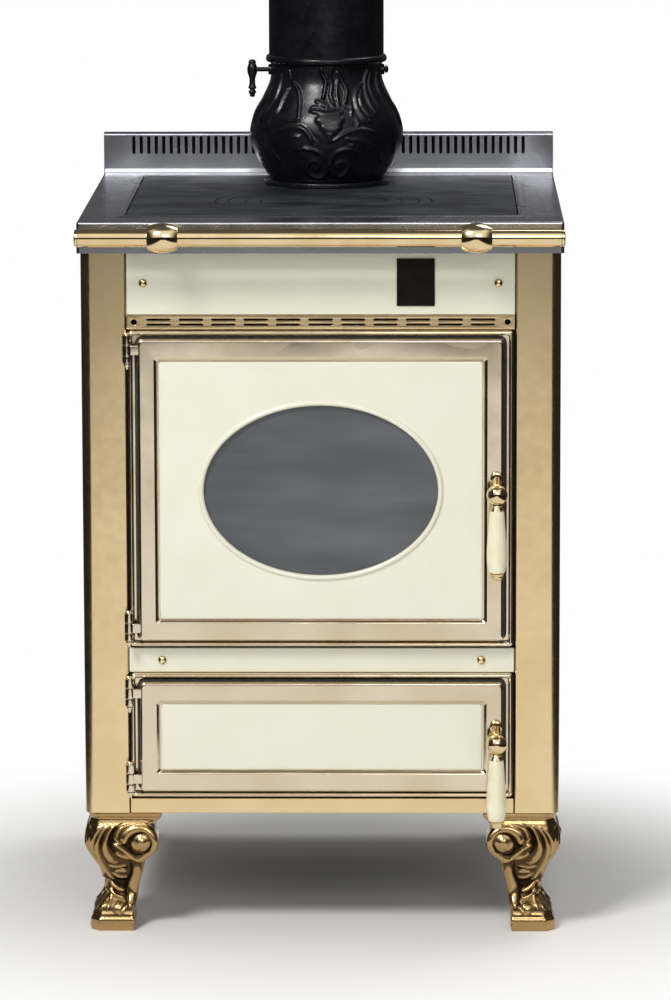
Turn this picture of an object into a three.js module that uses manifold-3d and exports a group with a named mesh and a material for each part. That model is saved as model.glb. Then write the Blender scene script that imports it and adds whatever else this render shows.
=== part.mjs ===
// Wood cookstove at full size, in millimetres, Z up.
// X runs across the front from left to right and Y runs from the cabinet's front face to the back.
// A size called "out" is measured forward from the cabinet's front face.
import * as THREE from 'three';
import { mergeVertices } from 'three/addons/utils/BufferGeometryUtils.js';
import Module from 'manifold-3d';

const wasm = await Module();
wasm.setup();

// ---------------------------------------------------------------- driving dimensions
// Overall
const hobWidth = 600;
const hobDepth = 600;
const hobHeight = 900;
const hobOverhang = 20;
const footHeight = 153;
const sheet = 2;
const seatGap = 0.3;
const past = 1; // a cutting solid runs this far past the face that it cuts

// Cabinet
const cabinetInset = 3;
const backInset = 10;
const postWidth = 56;
const postDepth = 45;
const postCorner = 12;
const postEdge = 3;
const postLip = 10;
const frontDepth = 5;
const frontGap = 1;
const trayCorner = 1.5;
const trayEdge = 1.2;

// Front, from the floor up
const plinthHeight = 19;
const plinthGap = 4;
const ashSurroundHeight = 156.6;
const middleRailHeight = 30.7;
const railGap = 0.4;
const ventGap = 1;
const ventHeight = 18;
const fasciaHeight = 115;
const surroundInset = 3;
const surroundLift = 3.8;

// Door surrounds and doors
const rimWidth = 5.5;
const rimOut = 10.5;
const surroundOut = 1;
const doorSideGap = 6.3;
const doorEndGap = 3.5;
const doorBack = 7;
const doorFront = 21;
const doorBorder = 24.2;
const doorEndBorder = 26;
const panelGap = 2;
const panelThickness = 3;
const panelBack = 15.5;
const ledgeWidth = 12;
const mouthSideInset = 34;
const fireMouthInset = 33.5;
const ashMouthInset = 20;
const windowSideMargin = 55;
const windowEndMargin = 54.7;
const beadWidth = 7.3;
const beadHeight = 3.2;
const glassThickness = 4;
const glassLap = 25;
const ropeDiameter = 7;
const ropeGap = 0.6;
const ropeRimGap = 2;
const retainerThickness = 2.2;

// Hinges
const hingeOffset = 1;
const hingeClearance = 0.9;
const knuckleRadius = 5.6;
const knuckleSides = 12;
const pinRadius = 2.7;
const pinHeadRadius = 4.8;
const pinTipRadius = 4.2;
const pinTip = 8.5;
const knuckleHeights = [12, 13, 9];
const knuckleGap = 0.5;

// Handles
const handleInset = 8.7;
const bossRadius = 7.7;
const ballRadius = 12.9;
const ballDrop = 16;
const ballOut = 52;
const gripLength = 77;
const gripDrop = 20;
const gripRod = 3;
const spindleRadius = 4;
const latchSleeveWall = 1.3;
const latchRopeGap = 0.5; // least room between the latch's sleeve and the rope
const handleBossLength = 10;
const tongueReach = 10.8;
const tongueThickness = 3.3;

// Hob
const apronHeight = 39;
const plateSideMargin = 56.5;
const plateFrontMargin = 65;
const plateBackMargin = 51;
const plateThickness = 10;
const plateGap = 1.5;
const plateRib = 6;
const plateRibHeight = 7;
const ringFrontMargin = 40;
const ringWidths = [16, 22.5, 19.5];
const ringLip = 6;
const lifterLength = 18;
const lifterWidth = 8;
const lifterDepth = 4;
const lifterEdge = 8.6;

// Flue
const pipeRadius = 75;
const pipeWall = 2;
const pipeTop = 257;
const collarHeight = 170;
const collarWall = 7;
const flangeMargin = 7;
const flangeThickness = 7;
const flangeGap = 2;
const socketDepth = 10;
const spigotHeight = 16;
const damperDrop = 21;
const damperShaft = 3;
const damperThickness = 3;
const damperHub = 6.5;

// Splashback and towel rail
const splashHeight = 53;
const splashDuct = 20;
const slotPitch = 10;
const slotEndMargin = 33;
const slotDrop = 4;
const slotWidth = 4.4;
const slotLength = 24;
const railRadius = 11;
const railOut = 60;
const railDrop = 15.4;
const bracketSpacing = 384;
const bracketRadius = 18.5;
const bracketWidth = 38;

// Firebox
const shellWall = 4;
const shellInset = 69;
const shellFront = 12;
const shellBackGap = 50;
const brickThickness = 30;
const brickHeight = 225;
const floorThickness = 10;
const grateWidth = 263;
const grateDepth = 203;
const grateBars = 11;
const grateSlot = 9;
const grateBorder = 18;
const grateSideBorder = 15;
const panHingeClearance = 120;
const panDepth = 330;
const panHeight = 50;
const panGripWidth = 70;
const panGripReach = 16;
const retainerHeight = 126;
const retainerPlate = 96;
const baffleThickness = 8;
const baffleLift = 31;

// ---------------------------------------------------------------- levels and planes
const halfHob = hobWidth / 2;
const halfCabinet = halfHob - cabinetInset;
const halfFront = halfCabinet - postWidth - frontGap;
const hobFront = -hobOverhang;
const hobBack = hobDepth - hobOverhang;
const cabinetBack = hobBack - backInset;
const hobUnderside = hobHeight - sheet;
const apronBottom = hobHeight - apronHeight;

const plinthTop = footHeight + plinthHeight;
const ashBottom = plinthTop + plinthGap;
const ashTop = ashBottom + ashSurroundHeight;
const middleBottom = ashTop + railGap;
const middleTop = middleBottom + middleRailHeight;
const fireBottom = middleTop + surroundLift;
const fasciaBottom = hobUnderside - seatGap - fasciaHeight;
const ventBottom = fasciaBottom - railGap - ventHeight;
const fireTop = ventBottom - ventGap;
const halfSurround = halfFront - surroundInset + frontGap;
const hingeOut = rimOut + hingeClearance + knuckleRadius;
const flangeRadius = pipeRadius + flangeMargin;

// ---------------------------------------------------------------- materials
const finish = (color, roughness, metalness) => ({ color, roughness, metalness });
const brushedSteel = finish('#a3a4a8', 0.35, 1);
const castIron = finish('#3a3c3f', 0.6, 0.7);
const blackIron = finish('#17181c', 0.45, 0.5);
const brass = finish('#c0a470', 0.35, 1);
const polishedBrass = finish('#c99f57', 0.15, 1);
const platedCasting = finish('#cdbba2', 0.15, 1);
const creamEnamel = finish('#ece9d6', 0.2, 0);
const blackEnamel = finish('#141414', 0.35, 0);
const porcelain = finish('#f1ebca', 0.15, 0);
const antiqueGold = finish('#a9834f', 0.35, 1);
const boilerSteel = finish('#4a4b4d', 0.6, 0.8);
const fireClay = finish('#b6a48a', 0.9, 0);
const rope = finish('#1c1b1a', 0.95, 0);
const clearGlass = finish('#2a2c2e', 0.05, 0);

// ---------------------------------------------------------------- solids and shapes
// A closed mesh becomes a solid; one that is turned inside out by a mirror is put right first.
const solid = (geometry) => {
  geometry.deleteAttribute('normal');
  geometry.deleteAttribute('uv');
  const merged = mergeVertices(geometry, 1e-4);
  const position = merged.attributes.position;
  const corner = [new THREE.Vector3(), new THREE.Vector3(), new THREE.Vector3()];
  const faces = [];
  let volume = 0;
  for (let i = 0; i < merged.index.count; i += 3) {
    const face = [0, 1, 2].map((k) => merged.index.getX(i + k));
    if (new Set(face).size < 3) continue;
    face.forEach((vertex, k) => corner[k].fromBufferAttribute(position, vertex));
    volume += corner[0].dot(corner[1].clone().cross(corner[2]));
    faces.push(face);
  }
  const triVerts = faces.flatMap(([a, b, c]) => (volume < 0 ? [a, c, b] : [a, b, c]));
  const vertProperties = new Float32Array(position.array);
  return new wasm.Manifold(new wasm.Mesh({
    numProp: 3,
    vertProperties,
    triVerts: new Uint32Array(triVerts),
  }));
};

const geometryOf = (body) => {
  const mesh = body.getMesh();
  const geometry = new THREE.BufferGeometry();
  geometry.setAttribute('position', new THREE.BufferAttribute(mesh.vertProperties, 3));
  geometry.setIndex(new THREE.BufferAttribute(mesh.triVerts, 1));
  geometry.computeVertexNormals();
  return geometry;
};

const join = (first, ...others) => others.reduce((whole, other) => whole.add(other), first);
const cut = (first, ...others) => others.reduce((whole, other) => whole.subtract(other), first);
const moved = (body, x, y, z) => solid(geometryOf(body).translate(x, y, z));
const mirroredX = (body) => solid(geometryOf(body).scale(-1, 1, 1));
const mirroredY = (body, depth) => solid(geometryOf(body).scale(1, -1, 1).translate(0, depth, 0));

const block = (x0, x1, y0, y1, z0, z1) => {
  const geometry = new THREE.BoxGeometry(x1 - x0, y1 - y0, z1 - z0);
  return solid(geometry.translate((x0 + x1) / 2, (y0 + y1) / 2, (z0 + z1) / 2));
};

// A shape drawn in X and Z, raised forward from one distance out to another.
const raised = (shape, from, to, { bevel = 0, bevelDepth = bevel, steps = 2, arc = 1 } = {}) => {
  const geometry = new THREE.ExtrudeGeometry(shape, {
    depth: to - from - 2 * bevelDepth,
    bevelEnabled: bevel > 0,
    bevelThickness: bevelDepth,
    bevelSize: bevel,
    bevelOffset: -bevel,
    bevelSegments: steps,
    curveSegments: arc,
  });
  return solid(geometry.translate(0, 0, from + bevelDepth).rotateX(Math.PI / 2));
};

// The same with edges rounded at the front only.
const raisedFlatBack = (shape, from, to, edge) => {
  const depth = edge.bevelDepth ?? edge.bevel;
  const wide = hobWidth;
  const behind = block(-wide, wide, -from, depth + 1 - from, -wide, 2 * hobHeight);
  return cut(raised(shape, from - depth, to, edge), behind);
};

// A plan shape drawn in X and Y, raised from one height to another.
const upright = (shape, z0, z1, arc = 4) => {
  const settings = { depth: z1 - z0, bevelEnabled: false, curveSegments: arc };
  return solid(new THREE.ExtrudeGeometry(shape, settings).translate(0, 0, z0));
};

const roundedBox = (path, x0, x1, z0, z1, r) => {
  path.moveTo(x0 + r, z0);
  path.lineTo(x1 - r, z0);
  path.absarc(x1 - r, z0 + r, r, -Math.PI / 2, 0, false);
  path.lineTo(x1, z1 - r);
  path.absarc(x1 - r, z1 - r, r, 0, Math.PI / 2, false);
  path.lineTo(x0 + r, z1);
  path.absarc(x0 + r, z1 - r, r, Math.PI / 2, Math.PI, false);
  path.lineTo(x0, z0 + r);
  path.absarc(x0 + r, z0 + r, r, Math.PI, 1.5 * Math.PI, false);
  return path;
};
const rectangle = (x0, x1, z0, z1, r) => roundedBox(new THREE.Shape(), x0, x1, z0, z1, r);
const oval = (path, z, halfWidth, halfHeight) => {
  path.absellipse(0, z, halfWidth, halfHeight, 0, 2 * Math.PI, false, 0);
  return path;
};
const frameShape = (outer, inner) => {
  const shape = rectangle(...outer);
  shape.holes.push(roundedBox(new THREE.Path(), ...inner));
  return shape;
};

// Round bars along each axis, and turned pieces whose outline is a list of [radius, height].
const rodX = (x0, x1, y, z, r, sides = 24) => {
  const bar = new THREE.CylinderGeometry(r, r, x1 - x0, sides).rotateZ(Math.PI / 2);
  return solid(bar.translate((x0 + x1) / 2, y, z));
};
const rodY = (x, y0, y1, z, r, sides = 24) => {
  const bar = new THREE.CylinderGeometry(r, r, y1 - y0, sides);
  return solid(bar.translate(x, (y0 + y1) / 2, z));
};
const rodZ = (x, y, z0, z1, r, sides = 24) => {
  const bar = new THREE.CylinderGeometry(r, r, z1 - z0, sides).rotateX(Math.PI / 2);
  return solid(bar.translate(x, y, (z0 + z1) / 2));
};
const lathe = (outline, sides) => {
  const points = outline.map(([r, h]) => new THREE.Vector2(Math.max(r, 0), h));
  return new THREE.LatheGeometry(points, sides);
};
const turnedZ = (outline, x, y, sides = 32) =>
  solid(lathe(outline, sides).rotateX(Math.PI / 2).translate(x, y, 0));
const turnedX = (outline, y, z, sides = 32) =>
  solid(lathe(outline, sides).rotateZ(-Math.PI / 2).translate(0, y, z));
const ball = (x, y, z, r, sides = 16) =>
  solid(new THREE.SphereGeometry(r, sides, sides / 2).rotateX(Math.PI / 2).translate(x, y, z));
const spline = (points, count) => {
  const curve = new THREE.SplineCurve(points.map(([a, b]) => new THREE.Vector2(a, b)));
  return curve.getPoints(count).map((point) => [point.x, point.y]);
};

// ---------------------------------------------------------------- the assembly
const stove = new THREE.Group();
const bodyGroup = new THREE.Group();
stove.add(bodyGroup);
const place = (name, body, look) => {
  const mesh = new THREE.Mesh(geometryOf(body), new THREE.MeshStandardMaterial(look));
  mesh.name = name;
  bodyGroup.add(mesh);
};
const placePair = (name, body, look) => {
  place(`${name}_right`, body, look);
  place(`${name}_left`, mirroredX(body), look);
};

// ---------------------------------------------------------------- cabinet
// Each corner post is folded from one strip: a face, a round outer corner, a side and a screw lip.
const postInner = halfCabinet - postWidth;
const lipFront = frontDepth + seatGap;
const postShape = new THREE.Shape();
postShape.moveTo(postInner - postLip, lipFront);
postShape.lineTo(postInner, lipFront);
postShape.lineTo(postInner, postEdge);
postShape.absarc(postInner + postEdge, postEdge, postEdge, Math.PI, 1.5 * Math.PI, false);
postShape.lineTo(halfCabinet - postCorner, 0);
postShape.absarc(halfCabinet - postCorner, postCorner, postCorner, -Math.PI / 2, 0, false);
postShape.lineTo(halfCabinet, postDepth);
postShape.lineTo(halfCabinet - sheet, postDepth);
postShape.lineTo(halfCabinet - sheet, postCorner);
postShape.absarc(halfCabinet - postCorner, postCorner, postCorner - sheet, 0, -Math.PI / 2, true);
postShape.lineTo(postInner + sheet, sheet);
postShape.lineTo(postInner + sheet, lipFront + sheet);
postShape.lineTo(postInner - postLip, lipFront + sheet);
postShape.closePath();
placePair('corner_post', upright(postShape, footHeight, hobUnderside - seatGap), brass);

// Each side panel stands behind its post, with a front strip tucked in behind the post's side.
const panelTop = hobUnderside - seatGap;
const sideStrip = 16;
const sideInner = halfCabinet - sheet;
const sidePanel = join(
  block(sideInner, halfCabinet, postDepth + seatGap, cabinetBack, footHeight, panelTop),
  block(sideInner - sheet - seatGap, sideInner, postDepth + seatGap, postDepth + sideStrip,
    footHeight, panelTop),
  block(sideInner - sheet - seatGap, sideInner - seatGap, postDepth - sideStrip,
    postDepth + sideStrip, footHeight, panelTop),
);
placePair('side_panel', sidePanel, blackEnamel);

const halfInside = sideInner - seatGap;
const backFront = cabinetBack - sheet;
place('back_panel', block(-halfInside, halfInside, backFront, cabinetBack, footHeight, panelTop),
  blackEnamel);

const baseFront = frontDepth + sheet + postLip;
const baseTop = footHeight + sheet;
const halfBase = halfInside - sheet - seatGap;
place('base_panel', block(-halfBase, halfBase, baseFront, backFront - seatGap, footHeight, baseTop),
  blackEnamel);

// Front strips are shallow trays, open at the back, that lie against the lips of the posts.
const frontTray = (z0, z1) => {
  const outline = rectangle(-halfFront, halfFront, z0, z1, trayCorner);
  const tray = raisedFlatBack(outline, -frontDepth, 0, { bevel: trayEdge, steps: 2 });
  const inside = block(-halfFront + sheet, halfFront - sheet, sheet, frontDepth + past,
    z0 + sheet, z1 - sheet);
  return cut(tray, inside);
};
place('plinth_rail', frontTray(footHeight, plinthTop), brass);
place('middle_rail', frontTray(middleBottom, middleTop), creamEnamel);
place('upper_fascia', frontTray(fasciaBottom, panelTop), creamEnamel);

// The small plate on the fascia is bare.
const badgeLeft = 94;
const badgeWidth = 47;
const badgeBottom = fasciaBottom + 10.7;
const badgeHeight = 59;
const badgeThickness = 1.5;
const badgeShape = rectangle(badgeLeft, badgeLeft + badgeWidth, badgeBottom,
  badgeBottom + badgeHeight, 1);
place('blank_plate',
  raised(badgeShape, seatGap, seatGap + badgeThickness, { bevel: 0.4, steps: 1 }), blackEnamel);

// The vent strip has pairs of round-ended slots and a round hole at each end.
const ventPairs = 11;
const ventSlot = 30;
const ventSlotHeight = 3;
const ventRowPitch = 6.2;
const ventHole = 3.6;
const ventHoleInset = 9;
const ventHoleSides = 12;
const ventPitch = (2 * halfFront - 4 * ventHoleInset - ventSlotHeight) / ventPairs;
const ventShape = rectangle(-halfFront, halfFront, ventBottom, ventBottom + ventHeight, 1);
const ventMiddle = ventBottom + ventHeight / 2;
for (let column = 0; column < ventPairs; column += 1) {
  const x = (column - (ventPairs - 1) / 2) * ventPitch;
  for (const side of [-0.5, 0.5]) {
    const z = ventMiddle + side * ventRowPitch;
    ventShape.holes.push(roundedBox(new THREE.Path(), x - ventSlot / 2, x + ventSlot / 2,
      z - ventSlotHeight / 2, z + ventSlotHeight / 2, ventSlotHeight / 2));
  }
}
const ventHoles = [-1, 1].map((side) =>
  rodY(side * (halfFront - ventHoleInset), -past, frontDepth, ventMiddle, ventHole, ventHoleSides));
const ventFace = cut(raised(ventShape, -sheet, 0, { arc: 1 }), ...ventHoles);
const ventFoot = [-1, 1].map((side) => {
  const x = side * (halfFront - sheet / 2);
  return block(x - sheet / 2, x + sheet / 2, sheet / 2, frontDepth, ventBottom + sheet / 2,
    ventBottom + ventHeight - sheet / 2);
});
place('vent_strip', join(ventFace, ...ventFoot), brass);

// ---------------------------------------------------------------- door surrounds
// A door bay holds every size that a surround shares with its door.
const doorBay = (bottom, top, mouthInset, handleHeight, hingeTops) => {
  const halfRim = halfSurround - rimWidth;
  const halfDoor = halfRim - doorSideGap;
  const insideRope = halfRim - ropeRimGap - ropeDiameter - latchRopeGap;
  const doorBottom = bottom + rimWidth + doorEndGap;
  const doorTop = top - rimWidth - doorEndGap;
  return {
    bottom,
    top,
    halfRim,
    halfDoor,
    doorBottom,
    doorTop,
    halfOpening: halfDoor - doorBorder,
    openingBottom: doorBottom + doorEndBorder,
    openingTop: doorTop - doorEndBorder,
    halfMouth: halfSurround - mouthSideInset,
    mouthBottom: bottom + mouthInset,
    mouthTop: top - mouthInset,
    handleX: Math.min(halfDoor - handleInset, insideRope - spindleRadius - latchSleeveWall),
    handleZ: handleHeight,
    hingeX: -halfSurround - hingeOffset,
    hingeTops,
  };
};
const hingeHeight = knuckleHeights.reduce((sum, height) => sum + height, 0) + 2 * knuckleGap;
const hingeInset = 3.5;
const lowHinge = hingeHeight + 8.5;
const fireHandleLift = 16;
const fireBay = doorBay(fireBottom, fireTop, fireMouthInset, (fireBottom + fireTop) / 2 + fireHandleLift,
  [fireTop - hingeInset, fireBottom + lowHinge]);
const ashHandleLift = 13.7;
const ashBay = doorBay(ashBottom, ashTop, ashMouthInset, (ashBottom + ashTop) / 2 + ashHandleLift,
  [ashTop - hingeInset - 1, ashBottom + lowHinge]);

// Heights of the three knuckles of a hinge, from the top one down.
const knuckles = (topHeight) => {
  let z = topHeight;
  return knuckleHeights.map((height) => {
    const span = [z - height, z];
    z -= height + knuckleGap;
    return span;
  });
};
const boreRadius = pinRadius + seatGap;
const hingeBore = (bay, [z0, z1]) =>
  rodZ(bay.hingeX, -hingeOut, z0 - past, z1 + past, boreRadius, knuckleSides);
const hingeBarrel = (bay, [z0, z1]) =>
  rodZ(bay.hingeX, -hingeOut, z0, z1, knuckleRadius, knuckleSides);

const notchHalfHeight = 18;
const notchClearance = 1.2;
const mouthLap = 1.5;
const surroundCorner = 4;
const mouthCorner = 3;
const hingeWebInner = 2;
const hingeWebOuter = 3.5;
const surround = (bay) => {
  const outer = [-halfSurround, halfSurround, bay.bottom, bay.top, surroundCorner];
  const rimInner = [-bay.halfRim, bay.halfRim, bay.bottom + rimWidth, bay.top - rimWidth,
    mouthCorner];
  const mouth = [-bay.halfMouth, bay.halfMouth, bay.mouthBottom, bay.mouthTop, mouthCorner];
  const flange = raised(frameShape(outer, mouth), -frontDepth, surroundOut);
  const rimEdge = { bevel: 1.9, bevelDepth: 2, steps: 1 };
  const rim = raisedFlatBack(frameShape(outer, rimInner), -frontDepth, rimOut, rimEdge);
  const notch = block(bay.halfMouth - past, bay.handleX + tongueReach + notchClearance,
    -surroundOut - past, frontDepth + past, bay.handleZ - notchHalfHeight,
    bay.handleZ + notchHalfHeight);
  const fixed = bay.hingeTops.flatMap((topHeight) => {
    const [upper, , lower] = knuckles(topHeight);
    return [upper, lower].map((span) => {
      const web = block(bay.hingeX - hingeWebInner, bay.hingeX + hingeWebOuter, -hingeOut,
        -rimOut / 2, ...span);
      return cut(join(hingeBarrel(bay, span), web), hingeBore(bay, span));
    });
  });
  return join(cut(join(flange, rim), notch), ...fixed);
};
place('firebox_door_surround', surround(fireBay), platedCasting);
place('ash_door_surround', surround(ashBay), platedCasting);

// Hinge pins have a domed head on the upper knuckle and a turned tip under the lower one.
const pinSides = 8;
const hingePin = (bay, topHeight) => {
  const bottom = topHeight - hingeHeight;
  return turnedZ([
    [0, bottom - pinTip], [pinTipRadius * 0.4, bottom - pinTip / 2],
    [pinTipRadius, bottom - pinTip * 0.3], [pinTipRadius, bottom - seatGap],
    [pinRadius, bottom - seatGap], [pinRadius, topHeight + seatGap],
    [pinHeadRadius, topHeight + seatGap], [0, topHeight + pinHeadRadius * 0.6],
  ], bay.hingeX, -hingeOut, pinSides);
};
[['firebox', fireBay], ['ash', ashBay]].forEach(([name, bay]) => {
  place(`${name}_hinge_pin_upper`, hingePin(bay, bay.hingeTops[0]), platedCasting);
  place(`${name}_hinge_pin_lower`, hingePin(bay, bay.hingeTops[1]), platedCasting);
});

// ---------------------------------------------------------------- doors
// The frame has rounded edges, a ledge for the panel, a rear rebate for the rope and hinge arms.
const glassSeat = 0.4;
const glassFront = panelBack - glassSeat;
const glassBack = glassFront - glassThickness;
const ledgeFront = panelBack - seatGap;
const ledgeLap = 3;
const rebateWidth = 8;
const ropeBack = surroundOut + ropeGap;
const ropeFront = ropeBack + ropeDiameter;
const rebateBack = ropeFront + ropeGap;
const doorCorner = 5;
const armLap = 5;
const armFront = 3.5;
const armBack = 4.5;
const grown = ([x0, x1, z0, z1], by, corner) => [x0 - by, x1 + by, z0 - by, z1 + by, corner];
const doorFrame = (bay) => {
  const outer = [-bay.halfDoor, bay.halfDoor, bay.doorBottom, bay.doorTop, doorCorner];
  const opening = [-bay.halfOpening, bay.halfOpening, bay.openingBottom, bay.openingTop, mouthCorner];
  const casting = raisedFlatBack(frameShape(outer, opening), doorBack, doorFront,
    { bevel: 3.5, bevelDepth: 2.5, steps: 1 });
  const ledge = raised(frameShape(grown(opening, ledgeLap, mouthCorner),
    grown(opening, -ledgeWidth, mouthCorner)), glassBack, ledgeFront);
  const rebate = raised(frameShape(grown(outer, doorCorner, mouthCorner),
    grown(outer, -rebateWidth, mouthCorner)), doorBack - past, rebateBack);
  const spindleHole = rodY(bay.handleX, -doorFront - past, past - doorBack, bay.handleZ,
    spindleRadius + seatGap, knuckleSides);
  const arms = bay.hingeTops.map((topHeight) => {
    const [, span] = knuckles(topHeight);
    const arm = block(bay.hingeX, armLap - bay.halfDoor, -hingeOut - armFront,
      armBack - hingeOut, ...span);
    return cut(join(hingeBarrel(bay, span), arm), hingeBore(bay, span));
  });
  return join(cut(join(casting, ledge), rebate, spindleHole), ...arms);
};
place('firebox_door_frame', doorFrame(fireBay), platedCasting);
place('ash_door_frame', doorFrame(ashBay), platedCasting);

// Sealing ropes lie in the rebates and show in the gap between each door and its rim.
const ropeEndGap = 1.2;
const doorRope = (bay) => {
  const outer = [ropeRimGap - bay.halfRim, bay.halfRim - ropeRimGap,
    bay.bottom + rimWidth + ropeEndGap, bay.top - rimWidth - ropeEndGap, ropeDiameter];
  const edge = ropeDiameter * 0.43;
  return raised(frameShape(outer, grown(outer, -ropeDiameter, ropeDiameter / 3)), ropeBack, ropeFront,
    { bevel: edge, bevelDepth: edge, steps: 1 });
};
place('firebox_door_rope', doorRope(fireBay), rope);
place('ash_door_rope', doorRope(ashBay), rope);

const panelOutline = (bay) => rectangle(-bay.halfOpening + panelGap, bay.halfOpening - panelGap,
  bay.openingBottom + panelGap, bay.openingTop - panelGap, 3);
const panelEdge = { bevel: 1, steps: 2 };
const panelFront = panelBack + panelThickness;
const plainPanel = (bay) => raisedFlatBack(panelOutline(bay), panelBack, panelFront, panelEdge);
place('ash_door_panel', plainPanel(ashBay), creamEnamel);

// The firebox door panel is pressed around an oval window with a half-round bead.
const windowZ = (fireBay.openingBottom + fireBay.openingTop) / 2;
const halfWindow = fireBay.halfOpening - panelGap - windowSideMargin;
const windowRise = (fireBay.openingTop - fireBay.openingBottom) / 2 - panelGap - windowEndMargin;
const beadShape = oval(new THREE.Shape(), windowZ, halfWindow + beadWidth, windowRise + beadWidth);
beadShape.holes.push(oval(new THREE.Path(), windowZ, halfWindow, windowRise));
const ovalArc = 22;
const bead = raised(beadShape, panelFront - 3, panelFront + beadHeight,
  { bevel: beadWidth / 2 - 0.4, bevelDepth: 3, steps: 1, arc: ovalArc });
const windowCut = raised(oval(new THREE.Shape(), windowZ, halfWindow, windowRise),
  panelBack - 1, panelFront + beadHeight + 1, { arc: ovalArc });
const beadBase = raised(oval(new THREE.Shape(), windowZ, halfWindow + 3, windowRise + 3),
  panelBack, panelFront, { arc: ovalArc });
place('firebox_door_panel', cut(join(plainPanel(fireBay), beadBase, bead), windowCut), creamEnamel);

// The glass is held against the back of the panel by a flat frame behind the ledge.
const glassWide = halfWindow + glassLap;
const glassRise = windowRise + glassLap;
place('firebox_glass', raised(
  rectangle(-glassWide, glassWide, windowZ - glassRise, windowZ + glassRise, 4),
  glassBack, glassFront,
), clearGlass);
const retainerInset = 0.5;
const retainerMargin = 6;
const retainerCorner = 30;
const retainerFront = glassBack - seatGap;
const retainerOuter = [retainerInset - fireBay.halfOpening, fireBay.halfOpening - retainerInset,
  fireBay.openingBottom + retainerInset, fireBay.openingTop - retainerInset, mouthCorner];
const retainerInner = grown([-halfWindow, halfWindow, windowZ - windowRise, windowZ + windowRise],
  retainerMargin, retainerCorner);
place('firebox_glass_retainer', raised(frameShape(retainerOuter, retainerInner),
  retainerFront - retainerThickness, retainerFront), boilerSteel);

// ---------------------------------------------------------------- door handles
// Boss on the spindle, slanting neck to a ball, flared ferrule, rod through the grip and end nut.
const between = (a, b, r0, r1, sides = 12) => {
  const start = new THREE.Vector3(...a);
  const run = new THREE.Vector3(...b).sub(start);
  const bar = new THREE.CylinderGeometry(r1, r0, run.length(), sides);
  bar.translate(0, run.length() / 2, 0);
  const turn = new THREE.Quaternion();
  turn.setFromUnitVectors(new THREE.Vector3(0, 1, 0), run.normalize());
  return solid(bar.applyQuaternion(turn).translate(...a));
};
const tongueGap = 0.7;
const latchBack = frontDepth + tongueGap + tongueThickness;
const spindleEnd = latchBack + 0.9;
const ferruleRadius = 9;
const neckEnd = 7;
const handleArm = (bay) => {
  const x = bay.handleX;
  const ballZ = bay.handleZ - ballDrop;
  const gripTop = ballZ - gripDrop;
  const gripBottom = gripTop - gripLength;
  const bossFront = doorFront + handleBossLength;
  const boss = rodY(x, -bossFront, -doorFront - seatGap, bay.handleZ, bossRadius, 14);
  const spindle = rodY(x, past - bossFront, spindleEnd, bay.handleZ, spindleRadius, 10);
  const neck = between([x, 3 - bossFront, bay.handleZ], [x, -ballOut, ballZ], neckEnd + 0.1, neckEnd);
  const ferrule = turnedZ([
    [0, ballZ], [neckEnd - 0.5, ballZ], [neckEnd - 0.8, ballZ - ballRadius],
    [ferruleRadius, gripTop + seatGap], [gripRod, gripTop + seatGap],
    [gripRod, gripBottom - seatGap], [ferruleRadius, gripBottom - seatGap],
    [7.5, gripBottom - 4], [6.2, gripBottom - 8], [3.4, gripBottom - 10], [0, gripBottom - 10],
  ], x, -ballOut, 10);
  return join(boss, spindle, neck, ball(x, -ballOut, ballZ, ballRadius, 12), ferrule);
};
const handleGrip = (bay) => {
  const gripTop = bay.handleZ - ballDrop - gripDrop;
  const bore = gripRod + seatGap;
  const outline = spline([
    [ferruleRadius, 0], [10.4, 0.23], [12.4, 0.6], [12.6, 0.8], [11.2, 0.95], [10, 1],
  ].map(([r, share]) => [r, gripTop - share * gripLength]), 7);
  outline.push([bore, gripTop - gripLength], [bore, gripTop], [ferruleRadius, gripTop]);
  return turnedZ(outline, bay.handleX, -ballOut, 12);
};
// The latch is a sleeve on the spindle with a tongue that stops just short of the keeper's edge.
const latch = (bay) => {
  const sleeve = rodY(bay.handleX, seatGap - doorBack, latchBack, bay.handleZ,
    spindleRadius + latchSleeveWall, 14);
  const tongue = block(bay.handleX, bay.handleX + tongueReach, latchBack - tongueThickness,
    latchBack, bay.handleZ - spindleRadius, bay.handleZ + spindleRadius);
  const bore = rodY(bay.handleX, -doorBack - past, latchBack + past, bay.handleZ,
    spindleRadius + seatGap, knuckleSides);
  return cut(join(sleeve, tongue), bore);
};
[['firebox', fireBay], ['ash', ashBay]].forEach(([name, bay]) => {
  place(`${name}_handle_arm`, handleArm(bay), polishedBrass);
  place(`${name}_handle_grip`, handleGrip(bay), porcelain);
  place(`${name}_latch`, latch(bay), boilerSteel);
});

// ---------------------------------------------------------------- hob
const halfPlate = halfHob - plateSideMargin;
const plateFront = hobFront + plateFrontMargin;
const plateBack = hobBack - plateBackMargin;
const plateBottom = hobHeight - plateThickness;
const ledgeTop = plateBottom - seatGap;
const ledgeHeight = 4;
const ledgeReach = 12;
const aroundPlate = (grow, z0, z1) => block(-halfPlate - grow, halfPlate + grow, plateFront - grow,
  plateBack + grow, z0, z1);
const hobShell = cut(
  block(-halfHob, halfHob, hobFront, hobBack, apronBottom, hobHeight),
  block(-halfHob + sheet, halfHob - sheet, hobFront + sheet, hobBack - sheet, apronBottom - past,
    hobUnderside),
);
place('hob_frame', cut(
  join(hobShell, aroundPlate(plateGap + ledgeHeight, ledgeTop - ledgeHeight, hobUnderside + past)),
  aroundPlate(plateGap, ledgeTop, hobHeight + past),
  aroundPlate(plateGap - ledgeReach, ledgeTop - ledgeHeight - past, hobHeight + past),
), brushedSteel);

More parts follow.
